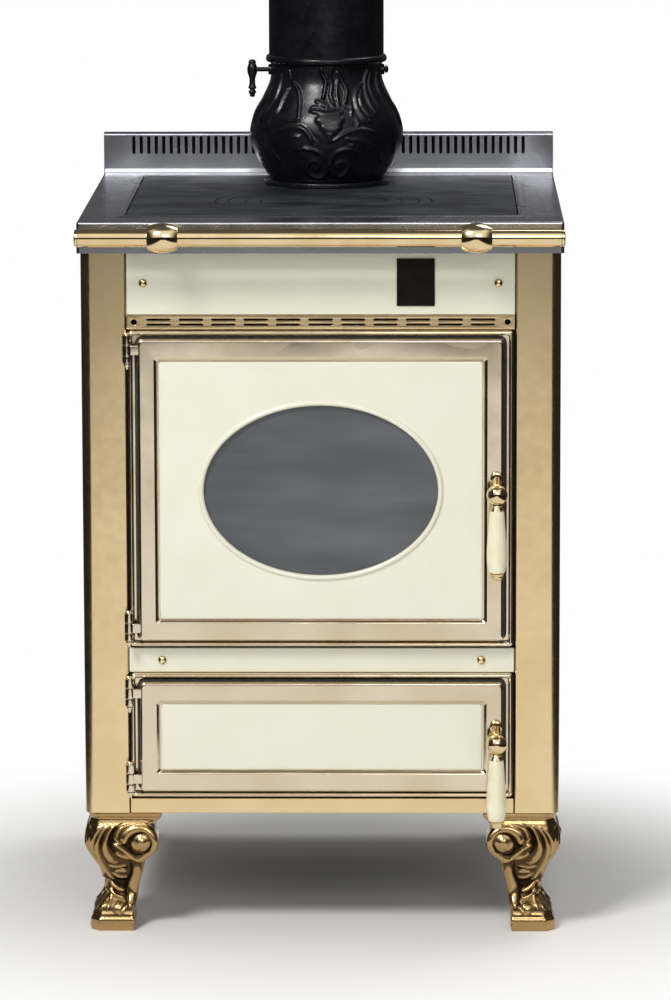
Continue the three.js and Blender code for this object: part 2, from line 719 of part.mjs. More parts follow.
// Rings and lid sit in each other's rebates around one centre in front of the flue.
const flueY = plateBack - flangeRadius - flangeGap;
const ringBack = flueY - flangeRadius - flangeGap;
const ringRadius = (ringBack - plateFront - ringFrontMargin) / 2;
const ringY = ringBack - ringRadius;
const ringSides = 24;
const stepZ = hobHeight - plateThickness / 2;
const rebatedHole = (radius) => join(
  rodZ(0, ringY, stepZ, hobHeight + past, radius, ringSides),
  rodZ(0, ringY, plateBottom - past, hobHeight + past, radius - ringLip, ringSides),
);
const ribInset = 48.7;
const ribEndInset = 30;
const plateRibs = [-1, 1].map((side) => {
  const x = side * (halfPlate - ribInset - plateRib / 2);
  return block(x - plateRib / 2, x + plateRib / 2, plateFront + ribEndInset, plateBack - ribEndInset,
    plateBottom - plateRibHeight, plateBottom + past);
});
const flueLip = 9;
place('hob_plate', cut(
  join(aroundPlate(0, plateBottom, hobHeight), ...plateRibs),
  rebatedHole(ringRadius),
  rodZ(0, flueY, plateBottom - past, hobHeight + past, pipeRadius - flueLip, ringSides),
), castIron);

const ringDisc = (radius) => join(
  rodZ(0, ringY, stepZ + seatGap, hobHeight, radius - seatGap, ringSides),
  rodZ(0, ringY, plateBottom, stepZ + past, radius - ringLip - seatGap, ringSides),
);
const ringRadii = ringWidths.reduce((radii, width) => [...radii, radii.at(-1) - width], [ringRadius]);
['hob_ring_outer', 'hob_ring_middle', 'hob_ring_inner'].forEach((name, index) => {
  place(name, cut(ringDisc(ringRadii[index]), rebatedHole(ringRadii[index + 1])), castIron);
});
// The lid has a blind slot near its edge for the lifting tool.
const lidRadius = ringRadii.at(-1);
const lifterX = lidRadius - lifterEdge;
const lifter = block(lifterX - lifterLength, lifterX, ringY - lifterWidth / 2,
  ringY + lifterWidth / 2, hobHeight - lifterDepth, hobHeight + past);
place('hob_lid', cut(ringDisc(lidRadius), lifter), castIron);

// ---------------------------------------------------------------- splashback
// A channel open below, with a row of slots under its folded top edge.
const splashTop = hobHeight + splashHeight;
const splashFront = hobBack - sheet;
const splashBack = hobBack + splashDuct;
const slotTip = 1.4;
const slotTop = splashTop - slotDrop;
const slotBottom = slotTop - slotLength;
const slotCount = Math.floor((hobWidth - 2 * slotEndMargin) / slotPitch);
const slots = Array.from({ length: slotCount }, (unused, index) => {
  const x = (index - (slotCount - 1) / 2) * slotPitch;
  const outline = [
    [-slotWidth / 2, slotTop], [-slotWidth / 2, slotBottom + slotTip], [-slotTip / 2, slotBottom],
    [slotTip / 2, slotBottom], [slotWidth / 2, slotBottom + slotTip], [slotWidth / 2, slotTop],
  ].map(([u, z]) => new THREE.Vector2(x + u, z));
  return raised(new THREE.Shape(outline), -hobBack - past, past - splashFront);
});
const splashFace = cut(
  block(-halfHob, halfHob, splashFront, hobBack, hobHeight + seatGap, splashTop),
  ...slots,
);
const splashSide = (side) => {
  const x = side * (halfHob - sheet / 2);
  return block(x - sheet / 2, x + sheet / 2, hobBack + seatGap, splashBack, apronBottom, splashTop);
};
place('splashback', join(
  splashFace,
  block(-halfHob, halfHob, splashFront, splashBack, splashTop - sheet, splashTop),
  block(-halfHob, halfHob, splashBack - sheet, splashBack, apronBottom, splashTop),
  splashSide(-1),
  splashSide(1),
), brushedSteel);

// ---------------------------------------------------------------- towel rail
const railZ = hobHeight - railDrop;
const railSides = 16;
const capRound = 4;
const capSteps = 3;
const railOutline = [[0, -halfHob]];
for (let step = 0; step <= capSteps; step += 1) {
  const angle = (step / capSteps) * (Math.PI / 2);
  railOutline.push([
    railRadius - capRound * (1 - Math.sin(angle)),
    -halfHob + capRound * (1 - Math.cos(angle)),
  ]);
}
const railMirror = railOutline.map(([r, x]) => [r, -x]).reverse();
place('towel_rail', turnedX([...railOutline, ...railMirror], -railOut, railZ, railSides),
  polishedBrass);

// Each bracket is a barrel on the rail with a turned stem and a foot against the hob's edge.
const halfBracket = bracketWidth / 2;
const barrelBore = railRadius + seatGap;
const barrelCrown = 3;
const barrelLip = 5;
const barrel = [[barrelBore, -halfBracket], [bracketRadius - barrelLip, -halfBracket]];
for (let step = 0; step <= 4; step += 1) {
  const t = -1 + step / 2;
  barrel.push([bracketRadius - barrelCrown * t * t, t * (halfBracket - 1)]);
}
barrel.push([bracketRadius - barrelLip, halfBracket], [barrelBore, halfBracket],
  [barrelBore, -halfBracket]);
const stemRadius = 7;
const stemFoot = 12;
const stemEnd = railOut - hobOverhang - barrelBore - 2;
const stem = solid(lathe([
  [0, seatGap], [stemFoot, seatGap], [stemFoot, 3], [stemRadius + 1, 6], [stemRadius, stemEnd / 2],
  [stemRadius, stemEnd], [0, stemEnd],
], 12).rotateX(Math.PI));
const stemX = bracketSpacing / 2;
const bracket = join(
  moved(turnedX(barrel, -railOut, railZ, railSides), stemX, 0, 0),
  moved(stem, stemX, hobFront, railZ),
);
placePair('towel_rail_bracket', bracket, polishedBrass);

// ---------------------------------------------------------------- flue
// The collar is a cast urn: one wall follows a curve from foot to neck, with a bead and a spigot.
const collarBase = hobHeight + seatGap;
const neckRadius = pipeRadius - pipeWall;
const belly = [
  [2, 0.047], [17, 0.182], [28, 0.353], [24.5, 0.512], [11.5, 0.665], [1.5, 0.8], [0, 0.906],
].map(([swell, share]) => [neckRadius + swell, hobHeight + share * collarHeight]);
const outerWall = spline(belly, 8);
const innerWall = spline(belly.map(([r, z]) => [r - collarWall, z]), 5).reverse();
const collarTop = hobHeight + collarHeight;
const socketZ = collarTop - socketDepth;
const spigotTop = collarTop + spigotHeight;
const spigotOuter = pipeRadius - pipeWall - seatGap;
const spigotInner = neckRadius - collarWall + 0.5;
const footInner = belly[0][0] - collarWall;
const beadRadius = neckRadius + 6;
const collarOutline = [
  [footInner, collarBase],
  [flangeRadius - 1, collarBase], [flangeRadius, collarBase + 2],
  [flangeRadius - 1, hobHeight + flangeThickness],
  ...outerWall,
  [beadRadius - 1, socketZ + 1], [beadRadius, socketZ + socketDepth / 2],
  [beadRadius - 1, collarTop - 2], [pipeRadius + 0.7, collarTop],
  [pipeRadius + seatGap, socketZ], [spigotOuter, socketZ],
  [spigotOuter, spigotTop], [spigotInner, spigotTop],
  ...innerWall,
  [footInner, collarBase],
];
const damperZ = collarTop - damperDrop;
const shaftBore = rodX(-flangeRadius, flangeRadius, flueY, damperZ, damperShaft + seatGap, 12);
const collarBossRadius = 7;
const bossReach = neckRadius + 3;
const collarBoss = (side) => {
  const inner = side * (neckRadius - 3);
  const outer = side * bossReach;
  return rodX(Math.min(inner, outer), Math.max(inner, outer), flueY, damperZ, collarBossRadius, 16);
};
const collarSides = 24;
place('flue_collar', cut(
  join(turnedZ(collarOutline, 0, flueY, collarSides), collarBoss(-1), collarBoss(1)),
  shaftBore,
), blackIron);

const pipeBottom = socketZ + seatGap;
const pipeEnd = hobHeight + pipeTop;
place('flue_pipe', turnedZ([
  [pipeRadius, pipeBottom], [pipeRadius, pipeEnd], [pipeRadius - pipeWall, pipeEnd],
  [pipeRadius - pipeWall, pipeBottom], [pipeRadius, pipeBottom],
], 0, flueY, collarSides), blackIron);

// The damper turns on a shaft through the neck; its plate stands upright when the flue is open.
const leverX = neckRadius + 24;
const finial = bossReach + seatGap;
place('damper_shaft', turnedX([
  [0, -leverX - damperHub], [damperShaft, -leverX - damperHub], [damperShaft, finial],
  [4.5, finial + 0.8], [4.8, finial + 2.4], [3.6, finial + 4.2], [0, finial + 5],
], flueY, damperZ, 12), blackIron);

const damperGap = 3;
const damperRadius = spigotInner - damperGap;
const damperRib = damperRadius * 0.8;
place('damper_plate', cut(join(
  rodY(0, flueY - damperThickness / 2, flueY + damperThickness / 2, damperZ, damperRadius, 20),
  rodX(-damperRib, damperRib, flueY, damperZ, damperHub, 12),
), shaftBore), castIron);

// The lever hangs from the shaft, with a turned grip below the hub and a knob above it.
const leverOutline = [
  [0, -36], [3.2, -36], [3.6, -32], [5, -30.5], [5, -28.5], [3.4, -27], [3.4, -25.5], [5.4, -24],
  [4.2, -21], [4, -12], [damperHub, -5], [damperHub, 4], [4.6, 7], [5, 9], [3.2, 13], [0, 13],
].map(([r, z]) => [r, damperZ + z]);
const leverBore = rodX(-leverX - 2 * damperHub, 2 * damperHub - leverX, flueY, damperZ,
  damperShaft + seatGap, 12);
place('damper_handle', cut(turnedZ(leverOutline, -leverX, flueY, 8), leverBore), blackIron);

// ---------------------------------------------------------------- feet
// Each foot is the solid common to its front and side outlines, hollowed at the inner corner.
// Outlines are drawn inward from the cabinet's corner, at the height that the pattern was cut for.
const footWidth = 96;
const patternHeight = 152.7;
const footTop = footHeight - seatGap;
const stretch = footTop / patternHeight;
const kneeOuter = [
  [6, 144.5], [1.5, 133], [-0.8, 120], [-0.8, 110], [3.5, 99], [9, 88], [14.5, 76.5], [19.7, 65],
  [21.9, 54], [20.8, 45], [15.4, 37], [9.5, 31], [7.9, 27],
];
const stepOuter = [[6.6, 16], [4.8, 15.4], [4.1, 6], [5, 0]];
const scrollX = 69.3;
const scrollZ = 114.5;
const scrollRadius = 22.6;
const calfInner = [[59, 0], [60.5, 6], [60.3, 15.4], [59.4, 16], [60.2, 27], [63, 38], [64.8, 52],
  [68.4, 66], [71.4, 76], [73.4, 89]];
const scrollSteps = 6;
const scrollFrom = -66;
const scrollTo = 66;
const scrollArc = Array.from({ length: scrollSteps + 1 }, (unused, step) => {
  const angle = THREE.MathUtils.degToRad(scrollFrom + (step / scrollSteps) * (scrollTo - scrollFrom));
  return [scrollX + scrollRadius * Math.cos(angle), scrollZ + scrollRadius * Math.sin(angle)];
});
const footOuter = [...spline(kneeOuter, 12), ...stepOuter];
const footMoulding = [4, 147.2];
const footOutline = [
  [3, patternHeight], [2.6, 150], footMoulding, ...footOuter, ...calfInner, ...scrollArc,
  [footWidth - 8, 139.5], [footWidth - 1.4, 146], [footWidth, 149], [footWidth - 0.6, patternHeight],
];
const footForm = (points, depth) => {
  const shape = new THREE.Shape(points.map(([u, z]) => new THREE.Vector2(u, z * stretch)));
  return new THREE.ExtrudeGeometry(shape, { depth, bevelEnabled: false }).rotateX(Math.PI / 2);
};
const footDepth = footWidth + 20;
const footOver = 10;
const footFront = solid(footForm(footOutline, footDepth).translate(0, footDepth - footOver, 0));
const footSide = solid(footForm(footOutline, footDepth).rotateZ(Math.PI / 2)
  .translate(-footOver, 0, 0));
// The corner itself is worked off along the diagonal, following the same outline.
const cornerRound = 11;
const alongDiagonal = ([u, z]) => [(2 * u + cornerRound) / Math.SQRT2, z];
const diagonal = [[2 * footWidth, patternHeight], alongDiagonal([3, patternHeight]),
  ...[footMoulding, ...footOuter].map(alongDiagonal), [2 * footWidth, 0]];
const cornerForm = solid(footForm(diagonal, 4 * footWidth).translate(0, 2 * footWidth, 0)
  .rotateZ(Math.PI / 4));
const scrollEye = 11.3;
const eyeSet = 5;
const webThickness = 42;
const hollowBottom = 30;
const footPlate = 8;
const footSolid = join(
  cut(
    footFront.intersect(footSide).intersect(cornerForm),
    block(webThickness, footDepth, webThickness, footDepth, hollowBottom, footTop - footPlate),
  ),
  ball(scrollX, eyeSet, scrollZ * stretch, scrollEye, 10),
  ball(eyeSet, scrollX, scrollZ * stretch, scrollEye, 10),
);
const frontLeftFoot = moved(footSolid, -halfCabinet, 0, 0);
const rearLeftFoot = mirroredY(frontLeftFoot, cabinetBack);
place('foot_front_left', frontLeftFoot, antiqueGold);
place('foot_front_right', mirroredX(frontLeftFoot), antiqueGold);
place('foot_rear_left', rearLeftFoot, antiqueGold);
place('foot_rear_right', mirroredX(rearLeftFoot), antiqueGold);

// ---------------------------------------------------------------- firebox
// One welded shell stands on the base panel, open at the top under the cooking plate.
const halfShell = halfCabinet - shellInset;
const halfChamber = halfShell - shellWall;
const shellBack = cabinetBack - shellBackGap;
const chamberFront = shellFront + shellWall;
const chamberBack = shellBack - shellWall;
const shellTop = ledgeTop - ledgeHeight - seatGap;
const sleeveWall = 5;
const sleeveInset = sleeveWall - mouthLap;
const sleeve = (bay) => block(-bay.halfMouth - mouthLap, bay.halfMouth + mouthLap,
  frontDepth + seatGap, chamberFront, bay.mouthBottom - mouthLap, bay.mouthTop + mouthLap);
const sleeveHole = (bay) => block(sleeveInset - bay.halfMouth, bay.halfMouth - sleeveInset, 0,
  chamberFront + past, bay.mouthBottom + sleeveInset, bay.mouthTop - sleeveInset);

const floorStep = 6;
const floorTop = fireBay.mouthBottom - floorStep;
const floorBottom = floorTop - floorThickness;
const ashFloorThickness = 3;
const ashFloorTop = ashBay.mouthBottom + sleeveInset + ashFloorThickness - 0.5;
const baffleBottom = fireBay.mouthTop + baffleLift;
const bafflePath = 190;
const baffleFront = chamberFront + bafflePath;

// Inside the shell the walls are grown by a little, so that floor, flange and shelves weld into them.
const weld = 1;
const halfWelded = halfChamber + weld;
const weldedFront = chamberFront - weld;
const weldedBack = chamberBack + weld;
const shelfReach = 11;
const shelfThickness = 7;
const shelf = (side, top, front) => {
  const x = side * (halfWelded - shelfReach / 2 - weld / 2);
  const half = (shelfReach + weld) / 2;
  return block(x - half, x + half, front, weldedBack, top - shelfThickness, top);
};
const flangeReach = 12;
const flangeBackReach = 8;
const topFlange = 3;
const topLap = 34;
const shell = cut(
  join(
    cut(
      block(-halfShell, halfShell, shellFront, shellBack, baseTop + seatGap, shellTop),
      block(-halfChamber, halfChamber, chamberFront, chamberBack, baseTop - past, shellTop + past),
    ),
    block(-halfWelded, halfWelded, weldedFront, weldedBack, ashFloorTop - ashFloorThickness,
      ashFloorTop),
    cut(
      block(-halfShell - flangeReach, halfShell + flangeReach, shellFront,
        shellBack + flangeBackReach, shellTop - topFlange, shellTop),
      block(-halfWelded, halfWelded, chamberFront + topLap, weldedBack,
        shellTop - topFlange - past, shellTop + past),
    ),
    sleeve(fireBay),
    sleeve(ashBay),
    ...[-1, 1].flatMap((side) => [
      shelf(side, floorBottom - seatGap, weldedFront),
      shelf(side, baffleBottom - seatGap, baffleFront),
    ]),
  ),
  sleeveHole(fireBay),
  sleeveHole(ashBay),
);
place('firebox_shell', shell, boilerSteel);

// Floor plate with a rebated opening for the grate.
const grateForward = 20;
const grateRebate = floorThickness / 2;
const grateLedge = 10;
const grateRise = 3;
const grateGap = 0.5;
const grateY = (chamberFront + chamberBack) / 2 - grateForward;
const halfChamberFit = halfChamber - seatGap;
const grateBlock = (grow, z0, z1) => block(-grateWidth / 2 - grow, grateWidth / 2 + grow,
  grateY - grateDepth / 2 - grow, grateY + grateDepth / 2 + grow, z0, z1);
place('firebox_floor', cut(
  block(-halfChamberFit, halfChamberFit, chamberFront + seatGap, chamberBack - seatGap,
    floorBottom, floorTop),
  grateBlock(grateGap, floorTop - grateRebate, floorTop + past),
  grateBlock(-grateLedge, floorBottom - past, floorTop + past),
), castIron);

const grateBottom = floorTop - grateRebate + seatGap;
const grateTop = floorTop + grateRise;
const gratePitch = (grateWidth - 2 * grateSideBorder) / grateBars;
const grateReach = grateDepth / 2 - grateBorder;
const grateSlots = Array.from({ length: grateBars }, (unused, index) => {
  const x = (index - (grateBars - 1) / 2) * gratePitch;
  return block(x - grateSlot / 2, x + grateSlot / 2, grateY - grateReach, grateY + grateReach,
    grateBottom - past, grateTop + past);
});
place('fire_grate', cut(grateBlock(0, grateBottom, grateTop), ...grateSlots), castIron);

// Firebrick lining on three sides.
const brickBottom = floorTop + seatGap;
const brickTop = brickBottom + brickHeight;
const brickSetBack = 44;
const brickCorner = 4;
const brickFront = chamberFront + brickSetBack;
const brickSplit = chamberBack - seatGap - brickThickness;
const sideBrickShape = rectangle(brickFront, brickSplit - seatGap, brickBottom, brickTop,
  brickCorner);
const sideBrick = solid(geometryOf(raised(sideBrickShape, 0, brickThickness))
  .rotateZ(Math.PI / 2).translate(halfChamberFit - brickThickness, 0, 0));
placePair('firebrick', sideBrick, fireClay);
const backBrickShape = rectangle(-halfChamberFit, halfChamberFit, brickBottom, brickTop, brickCorner);
place('firebrick_back', raised(backBrickShape, seatGap - chamberBack, -brickSplit), fireClay);

// The log retainer is a low plate with a bright bar across its top on three uprights.
const retainerSetBack = 30;
const retainerSideGap = 26;
const retainerBar = 4;
const footPad = 20;
const retainerY = chamberFront + retainerSetBack;
const halfRetainer = halfChamber - retainerSideGap;
const barZ = brickBottom + retainerHeight;
const retainerBack = retainerY + retainerBar;
const uprights = [-1, 0, 1].map((side) => {
  const x = side * (halfRetainer - 2 * retainerBar);
  return block(x - retainerBar, x + retainerBar, retainerY - 1, retainerBack - 1,
    brickBottom + retainerPlate - retainerBar, barZ);
});
const pads = [-1, 1].map((side) => {
  const x = side * (halfRetainer - footPad / 2);
  return block(x - footPad / 2, x + footPad / 2, retainerY - footPad / 2, retainerBack + footPad / 2,
    brickBottom, brickBottom + retainerBar);
});
place('log_retainer', join(
  block(-halfRetainer, halfRetainer, retainerY, retainerBack, brickBottom,
    brickBottom + retainerPlate),
  ...uprights,
  rodX(-halfRetainer, halfRetainer, retainerY + 1, barZ, retainerBar, 12),
  ...pads,
), boilerSteel);

// The baffle rests on the upper shelves and sends the smoke forward before it reaches the flue.
place('smoke_baffle', block(-halfChamberFit, halfChamberFit, baffleFront, chamberBack - seatGap,
  baffleBottom, baffleBottom + baffleThickness), castIron);

// The ash pan is a folded tray with a rolled front grip, standing on the floor of the ash bay.
const panBottom = ashFloorTop + seatGap;
const panSetBack = 14;
const panTop = panBottom + panHeight;
const panFront = chamberFront + panSetBack;
const halfPan = -ashBay.hingeX - panHingeClearance;
const gripSheet = 3;
const gripZ = panTop - 14;
const gripFront = panFront - panGripReach;
const gripLip = 10;
const halfPanGrip = panGripWidth / 2;
place('ash_pan', join(
  cut(
    block(-halfPan, halfPan, panFront, panFront + panDepth, panBottom, panTop),
    block(sheet - halfPan, halfPan - sheet, panFront + sheet, panFront + panDepth - sheet,
      panBottom + sheet, panTop + past),
  ),
  block(-halfPanGrip, halfPanGrip, gripFront, panFront + past, gripZ, gripZ + gripSheet),
  block(-halfPanGrip, halfPanGrip, gripFront, gripFront + gripSheet, gripZ - gripLip,
    gripZ + gripSheet / 2),
), boilerSteel);

// ---------------------------------------------------------------- origin
// The origin lies on the floor under the middle of the whole stove.
const foremost = -railOut - bracketRadius;
bodyGroup.position.y = -(foremost + splashBack) / 2;

export default stove;
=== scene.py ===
import math

import bmesh
import bpy
import numpy as np
from mathutils import Matrix, Vector


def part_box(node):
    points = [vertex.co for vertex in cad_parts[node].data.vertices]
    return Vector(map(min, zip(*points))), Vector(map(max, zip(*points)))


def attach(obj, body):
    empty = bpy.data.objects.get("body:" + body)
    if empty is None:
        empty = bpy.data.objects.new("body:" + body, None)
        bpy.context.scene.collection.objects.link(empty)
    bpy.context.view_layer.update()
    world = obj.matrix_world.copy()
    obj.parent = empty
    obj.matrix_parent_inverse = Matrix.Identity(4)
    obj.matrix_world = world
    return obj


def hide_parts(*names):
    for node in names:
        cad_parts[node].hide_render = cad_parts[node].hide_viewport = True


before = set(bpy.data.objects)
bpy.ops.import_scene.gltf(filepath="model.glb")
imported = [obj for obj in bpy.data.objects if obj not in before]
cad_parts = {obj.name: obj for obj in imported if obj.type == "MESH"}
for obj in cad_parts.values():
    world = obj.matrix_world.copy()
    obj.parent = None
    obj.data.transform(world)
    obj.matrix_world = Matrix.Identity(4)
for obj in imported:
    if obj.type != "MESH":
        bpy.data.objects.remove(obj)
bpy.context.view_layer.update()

# ------------------------------------------------------------------ studio
# A pale floor that runs to white away from the stove, soft lamps in front and above, and a room
# that polished metal sees as one broad bright wall in front, darker at the sides and above.
mm = 0.001
floor_grey = "#F4F3F0"
studio_reach = 40
shadow_edge = (0.33, 0.85)
floor_mirrored = 0.88
floor_falls = (("X", True, 0.7, 1.05, 0.02), ("Y", True, 4.7, 6.4, 0.5))
wall_falls = (("Z", False, 0.84, 0.95, 0.12), ("Y", False, -0.25, 0.1, 0.1),
              ("X", True, 0.42, 0.72, 0.04))
ambient_strength = 0.32
card_black = "#1D1B19"
card_size = (16, 2.6)
card_place = (0, -8.2, 1.3)
camera_place = (0.125989, -6.876639, 1.632837)
camera_aside = 0.937
camera_down = 9.2875
camera_roll = -0.144
camera_lens = 194.41


def linear(colour):
    """An sRGB hex colour as linear red, green, blue and alpha."""
    parts = [int(colour[i:i + 2], 16) / 255 for i in (1, 3, 5)]
    return (*[p / 12.92 if p < 0.04045 else ((p + 0.055) / 1.055) ** 2.4 for p in parts], 1.0)


def add(tree, kind, inputs=None, **properties):
    """Adds a node with its settings, and links or sets its inputs."""
    made = tree.nodes.new("ShaderNode" + kind)
    for name, value in properties.items():
        setattr(made, name, value)
    for name, value in (inputs or {}).items():
        if isinstance(value, bpy.types.NodeSocket):
            tree.links.new(value, made.inputs[name])
        else:
            made.inputs[name].default_value = value
    return made


def seen_directly(tree):
    """1 for what the camera sees straight, in a reflection or through glass, and 0 for light."""
    path = add(tree, "LightPath")
    either = add(tree, "Math", {0: path.outputs["Is Camera Ray"],
                                1: path.outputs["Is Glossy Ray"]}, operation="MAXIMUM")
    return add(tree, "Math", {0: either.outputs[0], 1: path.outputs["Is Transmission Ray"]},
               operation="MAXIMUM").outputs[0]


def dimmed(tree, place, full, falls):
    """1 for the camera, and in reflections a strength that falls from full along each axis.

    A fall has its axis, whether it goes both ways, where it starts and ends, and its low.
    """
    parts = add(tree, "SeparateXYZ", {0: place})
    mirrored = full
    for axis, both_ways, start, end, low in falls:
        distance = parts.outputs[axis]
        if both_ways:
            distance = add(tree, "Math", {0: distance}, operation="ABSOLUTE").outputs[0]
        fall = add(tree, "MapRange", {"Value": distance, "From Min": start, "From Max": end,
                                      "To Min": full, "To Max": low},
                   interpolation_type="SMOOTHSTEP")
        mirrored = add(tree, "Math", {0: mirrored, 1: fall.outputs[0]},
                       operation="MINIMUM").outputs[0]
    return add(tree, "Mix", {0: add(tree, "LightPath").outputs["Is Glossy Ray"], 2: 1.0,
                             3: mirrored}, data_type="FLOAT").outputs[0]


def placed(name, data):
    """A new object in the scene."""
    made = bpy.data.objects.new(name, data)
    bpy.context.scene.collection.objects.link(made)
    return made


def shaped(name, bm):
    """A new object that holds the finished shape."""
    mesh = bpy.data.meshes.new(name)
    bm.to_mesh(mesh)
    bm.free()
    return placed(name, mesh)


def staged(name, bm, paint):
    """A flat stage piece with a material of its own."""
    made = shaped(name, bm)
    material = bpy.data.materials.new(name + "_paint")
    material.use_nodes = True
    tree = material.node_tree
    tree.links.new(paint(tree).outputs[0], tree.nodes["Material Output"].inputs["Surface"])
    made.data.materials.append(material)
    return made


def floor_paint(tree):
    """Matt near the stove, where its shadow falls, and plain white further away."""
    place = add(tree, "TexCoord")
    away = add(tree, "VectorMath", {0: place.outputs["Object"]}, operation="LENGTH")
    fade = add(tree, "MapRange", {"Value": away.outputs["Value"], "From Min": shadow_edge[0],
                                  "From Max": shadow_edge[1]}, interpolation_type="SMOOTHSTEP")
    share = add(tree, "Math", {0: fade.outputs[0], 1: seen_directly(tree)}, operation="MULTIPLY")
    matt = add(tree, "BsdfDiffuse", {"Color": linear(floor_grey)})
    strength = dimmed(tree, place.outputs["Object"], floor_mirrored, floor_falls)
    white = add(tree, "Emission", {"Color": (1, 1, 1, 1), "Strength": strength})
    return add(tree, "MixShader", {0: share.outputs[0], 1: matt.outputs[0], 2: white.outputs[0]})


bm = bmesh.new()
bmesh.ops.create_grid(bm, x_segments=1, y_segments=1, size=studio_reach)
staged("studio_floor", bm, floor_paint)

# A dark card behind the camera, seen in reflections only: it draws the horizon in the brass.
bm = bmesh.new()
bmesh.ops.create_grid(bm, x_segments=1, y_segments=1, size=0.5)
bmesh.ops.scale(bm, vec=(*card_size, 1), verts=bm.verts)
bmesh.ops.rotate(bm, matrix=Matrix.Rotation(math.pi / 2, 3, "X"), verts=bm.verts)
bmesh.ops.translate(bm, vec=card_place, verts=bm.verts)
card = staged("card_horizon", bm, lambda tree: add(
    tree, "Emission", {"Color": linear(card_black), "Strength": 1.0}))
card.visible_camera = card.visible_diffuse = False
card.visible_shadow = card.visible_transmission = False

world = bpy.data.worlds.new("studio")
bpy.context.scene.world = world
world.use_nodes = True
sky = world.node_tree
sky.nodes.clear()
wall = dimmed(sky, add(sky, "TexCoord").outputs["Generated"], 1.0, wall_falls)
shown = add(sky, "Background", {"Color": (1, 1, 1, 1), "Strength": wall})
ambient = add(sky, "Background", {"Color": (1, 1, 1, 1), "Strength": ambient_strength})
mixed = add(sky, "MixShader", {0: seen_directly(sky), 1: ambient.outputs[0], 2: shown.outputs[0]})
add(sky, "OutputWorld", {"Surface": mixed.outputs[0]})

for name, place, aim, size, power in (
    ("key_lamp", (-1.5, -2.8, 3.6), (0, 0, 0.6), 1.1, 118),
    ("front_lamp", (0.9, -5.2, 3.2), (0, 0, 0.5), 1.8, 44),
    ("top_lamp", (0.9, 0.9, 3.1), (0, 0, 0.9), 1.2, 18),
):
    lamp = bpy.data.lights.new(name, "AREA")
    lamp.shape = "SQUARE"
    lamp.size = size
    lamp.energy = power
    made = placed(name, lamp)
    made.location = place
    made.rotation_mode = "QUATERNION"
    made.rotation_quaternion = (Vector(aim) - Vector(place)).to_track_quat("-Z", "Y")

# The camera stands where a pinhole camera fitted to the photograph's corners stands.
camera = placed("camera", bpy.data.cameras.new("camera"))
camera.data.lens = camera_lens
camera.data.sensor_width = 36
camera.data.clip_end = 120
camera.matrix_world = (
    Matrix.Translation(camera_place)
    @ Matrix.Rotation(math.radians(camera_aside), 4, "Z")
    @ Matrix.Rotation(math.radians(90 - camera_down), 4, "X")
    @ Matrix.Rotation(math.radians(camera_roll), 4, "Z")
)
bpy.context.scene.camera = camera
bpy.context.scene.view_settings.view_transform = "Standard"

# ------------------------------------------------------------------ corner posts
# Brass strip folded round each front corner: a flat face, a rounded outer corner and a side that
# reaches back to the side panel. A black lip behind its inner edge takes the strips' screws.
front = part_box("corner_post_left")[0].y
post_inner = 241
post_outer = 297
post_depth = 45
post_corner = 12
post_sheet = 2
post_lip = 5.3
lip_width = 7
sides = (("left", -1), ("right", 1))


def spans(node):
    """A frame node's lowest and highest x, y and z in millimetres."""
    return [(low / mm, high / mm) for low, high in zip(*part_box(node))]


def finish(name, colour, roughness, metallic=0.0, **sockets):
    """A material on a plain shader, with its node tree and its shader."""
    material = bpy.data.materials.new(name)
    material.use_nodes = True
    tree = material.node_tree
    shader = tree.nodes["Principled BSDF"]
    shader.inputs["Base Color"].default_value = linear(colour)
    shader.inputs["Roughness"].default_value = roughness
    shader.inputs["Metallic"].default_value = metallic
    for socket, value in sockets.items():
        shader.inputs[socket.replace("_", " ")].default_value = value
    return material, tree, shader


def wandering(tree, grain, stretch=(1, 1, 1), detail=3.0):
    """Patches about grain millimetres across, as a share from 0 to 1."""
    place = add(tree, "TexCoord")
    turn = add(tree, "Mapping", {"Vector": place.outputs["Object"], "Scale": stretch})
    noise = add(tree, "TexNoise", {"Vector": turn.outputs[0], "Scale": 1 / (grain * mm),
                                   "Detail": detail})
    return add(tree, "MapRange", {"Value": noise.outputs[0], "From Min": 0.32,
                                  "From Max": 0.68}).outputs[0]


def two_tone(tree, shader, low, high, share):
    """The colour goes from low to high with the share."""
    mixed = add(tree, "Mix", {0: share, 6: linear(low), 7: linear(high)}, data_type="RGBA")
    tree.links.new(mixed.outputs[2], shader.inputs["Base Color"])


def between(tree, shader, socket, low, high, share):
    """A number of the shader goes from low to high with the share."""
    made = add(tree, "MapRange", {"Value": share, "To Min": low, "To Max": high})
    tree.links.new(made.outputs[0], shader.inputs[socket])


def relief(tree, shader, height, share):
    """The share raises the surface by up to that many millimetres."""
    made = add(tree, "Bump", {"Strength": 1.0, "Distance": height * mm, "Height": share})
    tree.links.new(made.outputs[0], shader.inputs["Normal"])


def piece(name, bm, material, body="root", replaces=(), edge=0.0, sharp=35):
    """Hands a shape to the frame: it is in millimetres, its y from the cabinet's face."""
    bmesh.ops.recalc_face_normals(bm, faces=bm.faces)
    bmesh.ops.scale(bm, vec=(mm, mm, mm), verts=bm.verts)
    bmesh.ops.translate(bm, vec=(0, front, 0), verts=bm.verts)
    made = shaped(name, bm)
    made.data.shade_smooth()
    made.data.set_sharp_from_angle(angle=math.radians(sharp))
    made.data.materials.append(material)
    if edge:
        rounding = made.modifiers.new("edges", "BEVEL")
        rounding.width = edge * mm
        rounding.segments = 2
        rounding.limit_method = "ANGLE"
        rounding.angle_limit = math.radians(40)
        rounding.use_clamp_overlap = False
    made.modifiers.new("normals", "WEIGHTED_NORMAL").keep_sharp = not edge
    if replaces:
        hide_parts(*replaces)
    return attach(made, body)


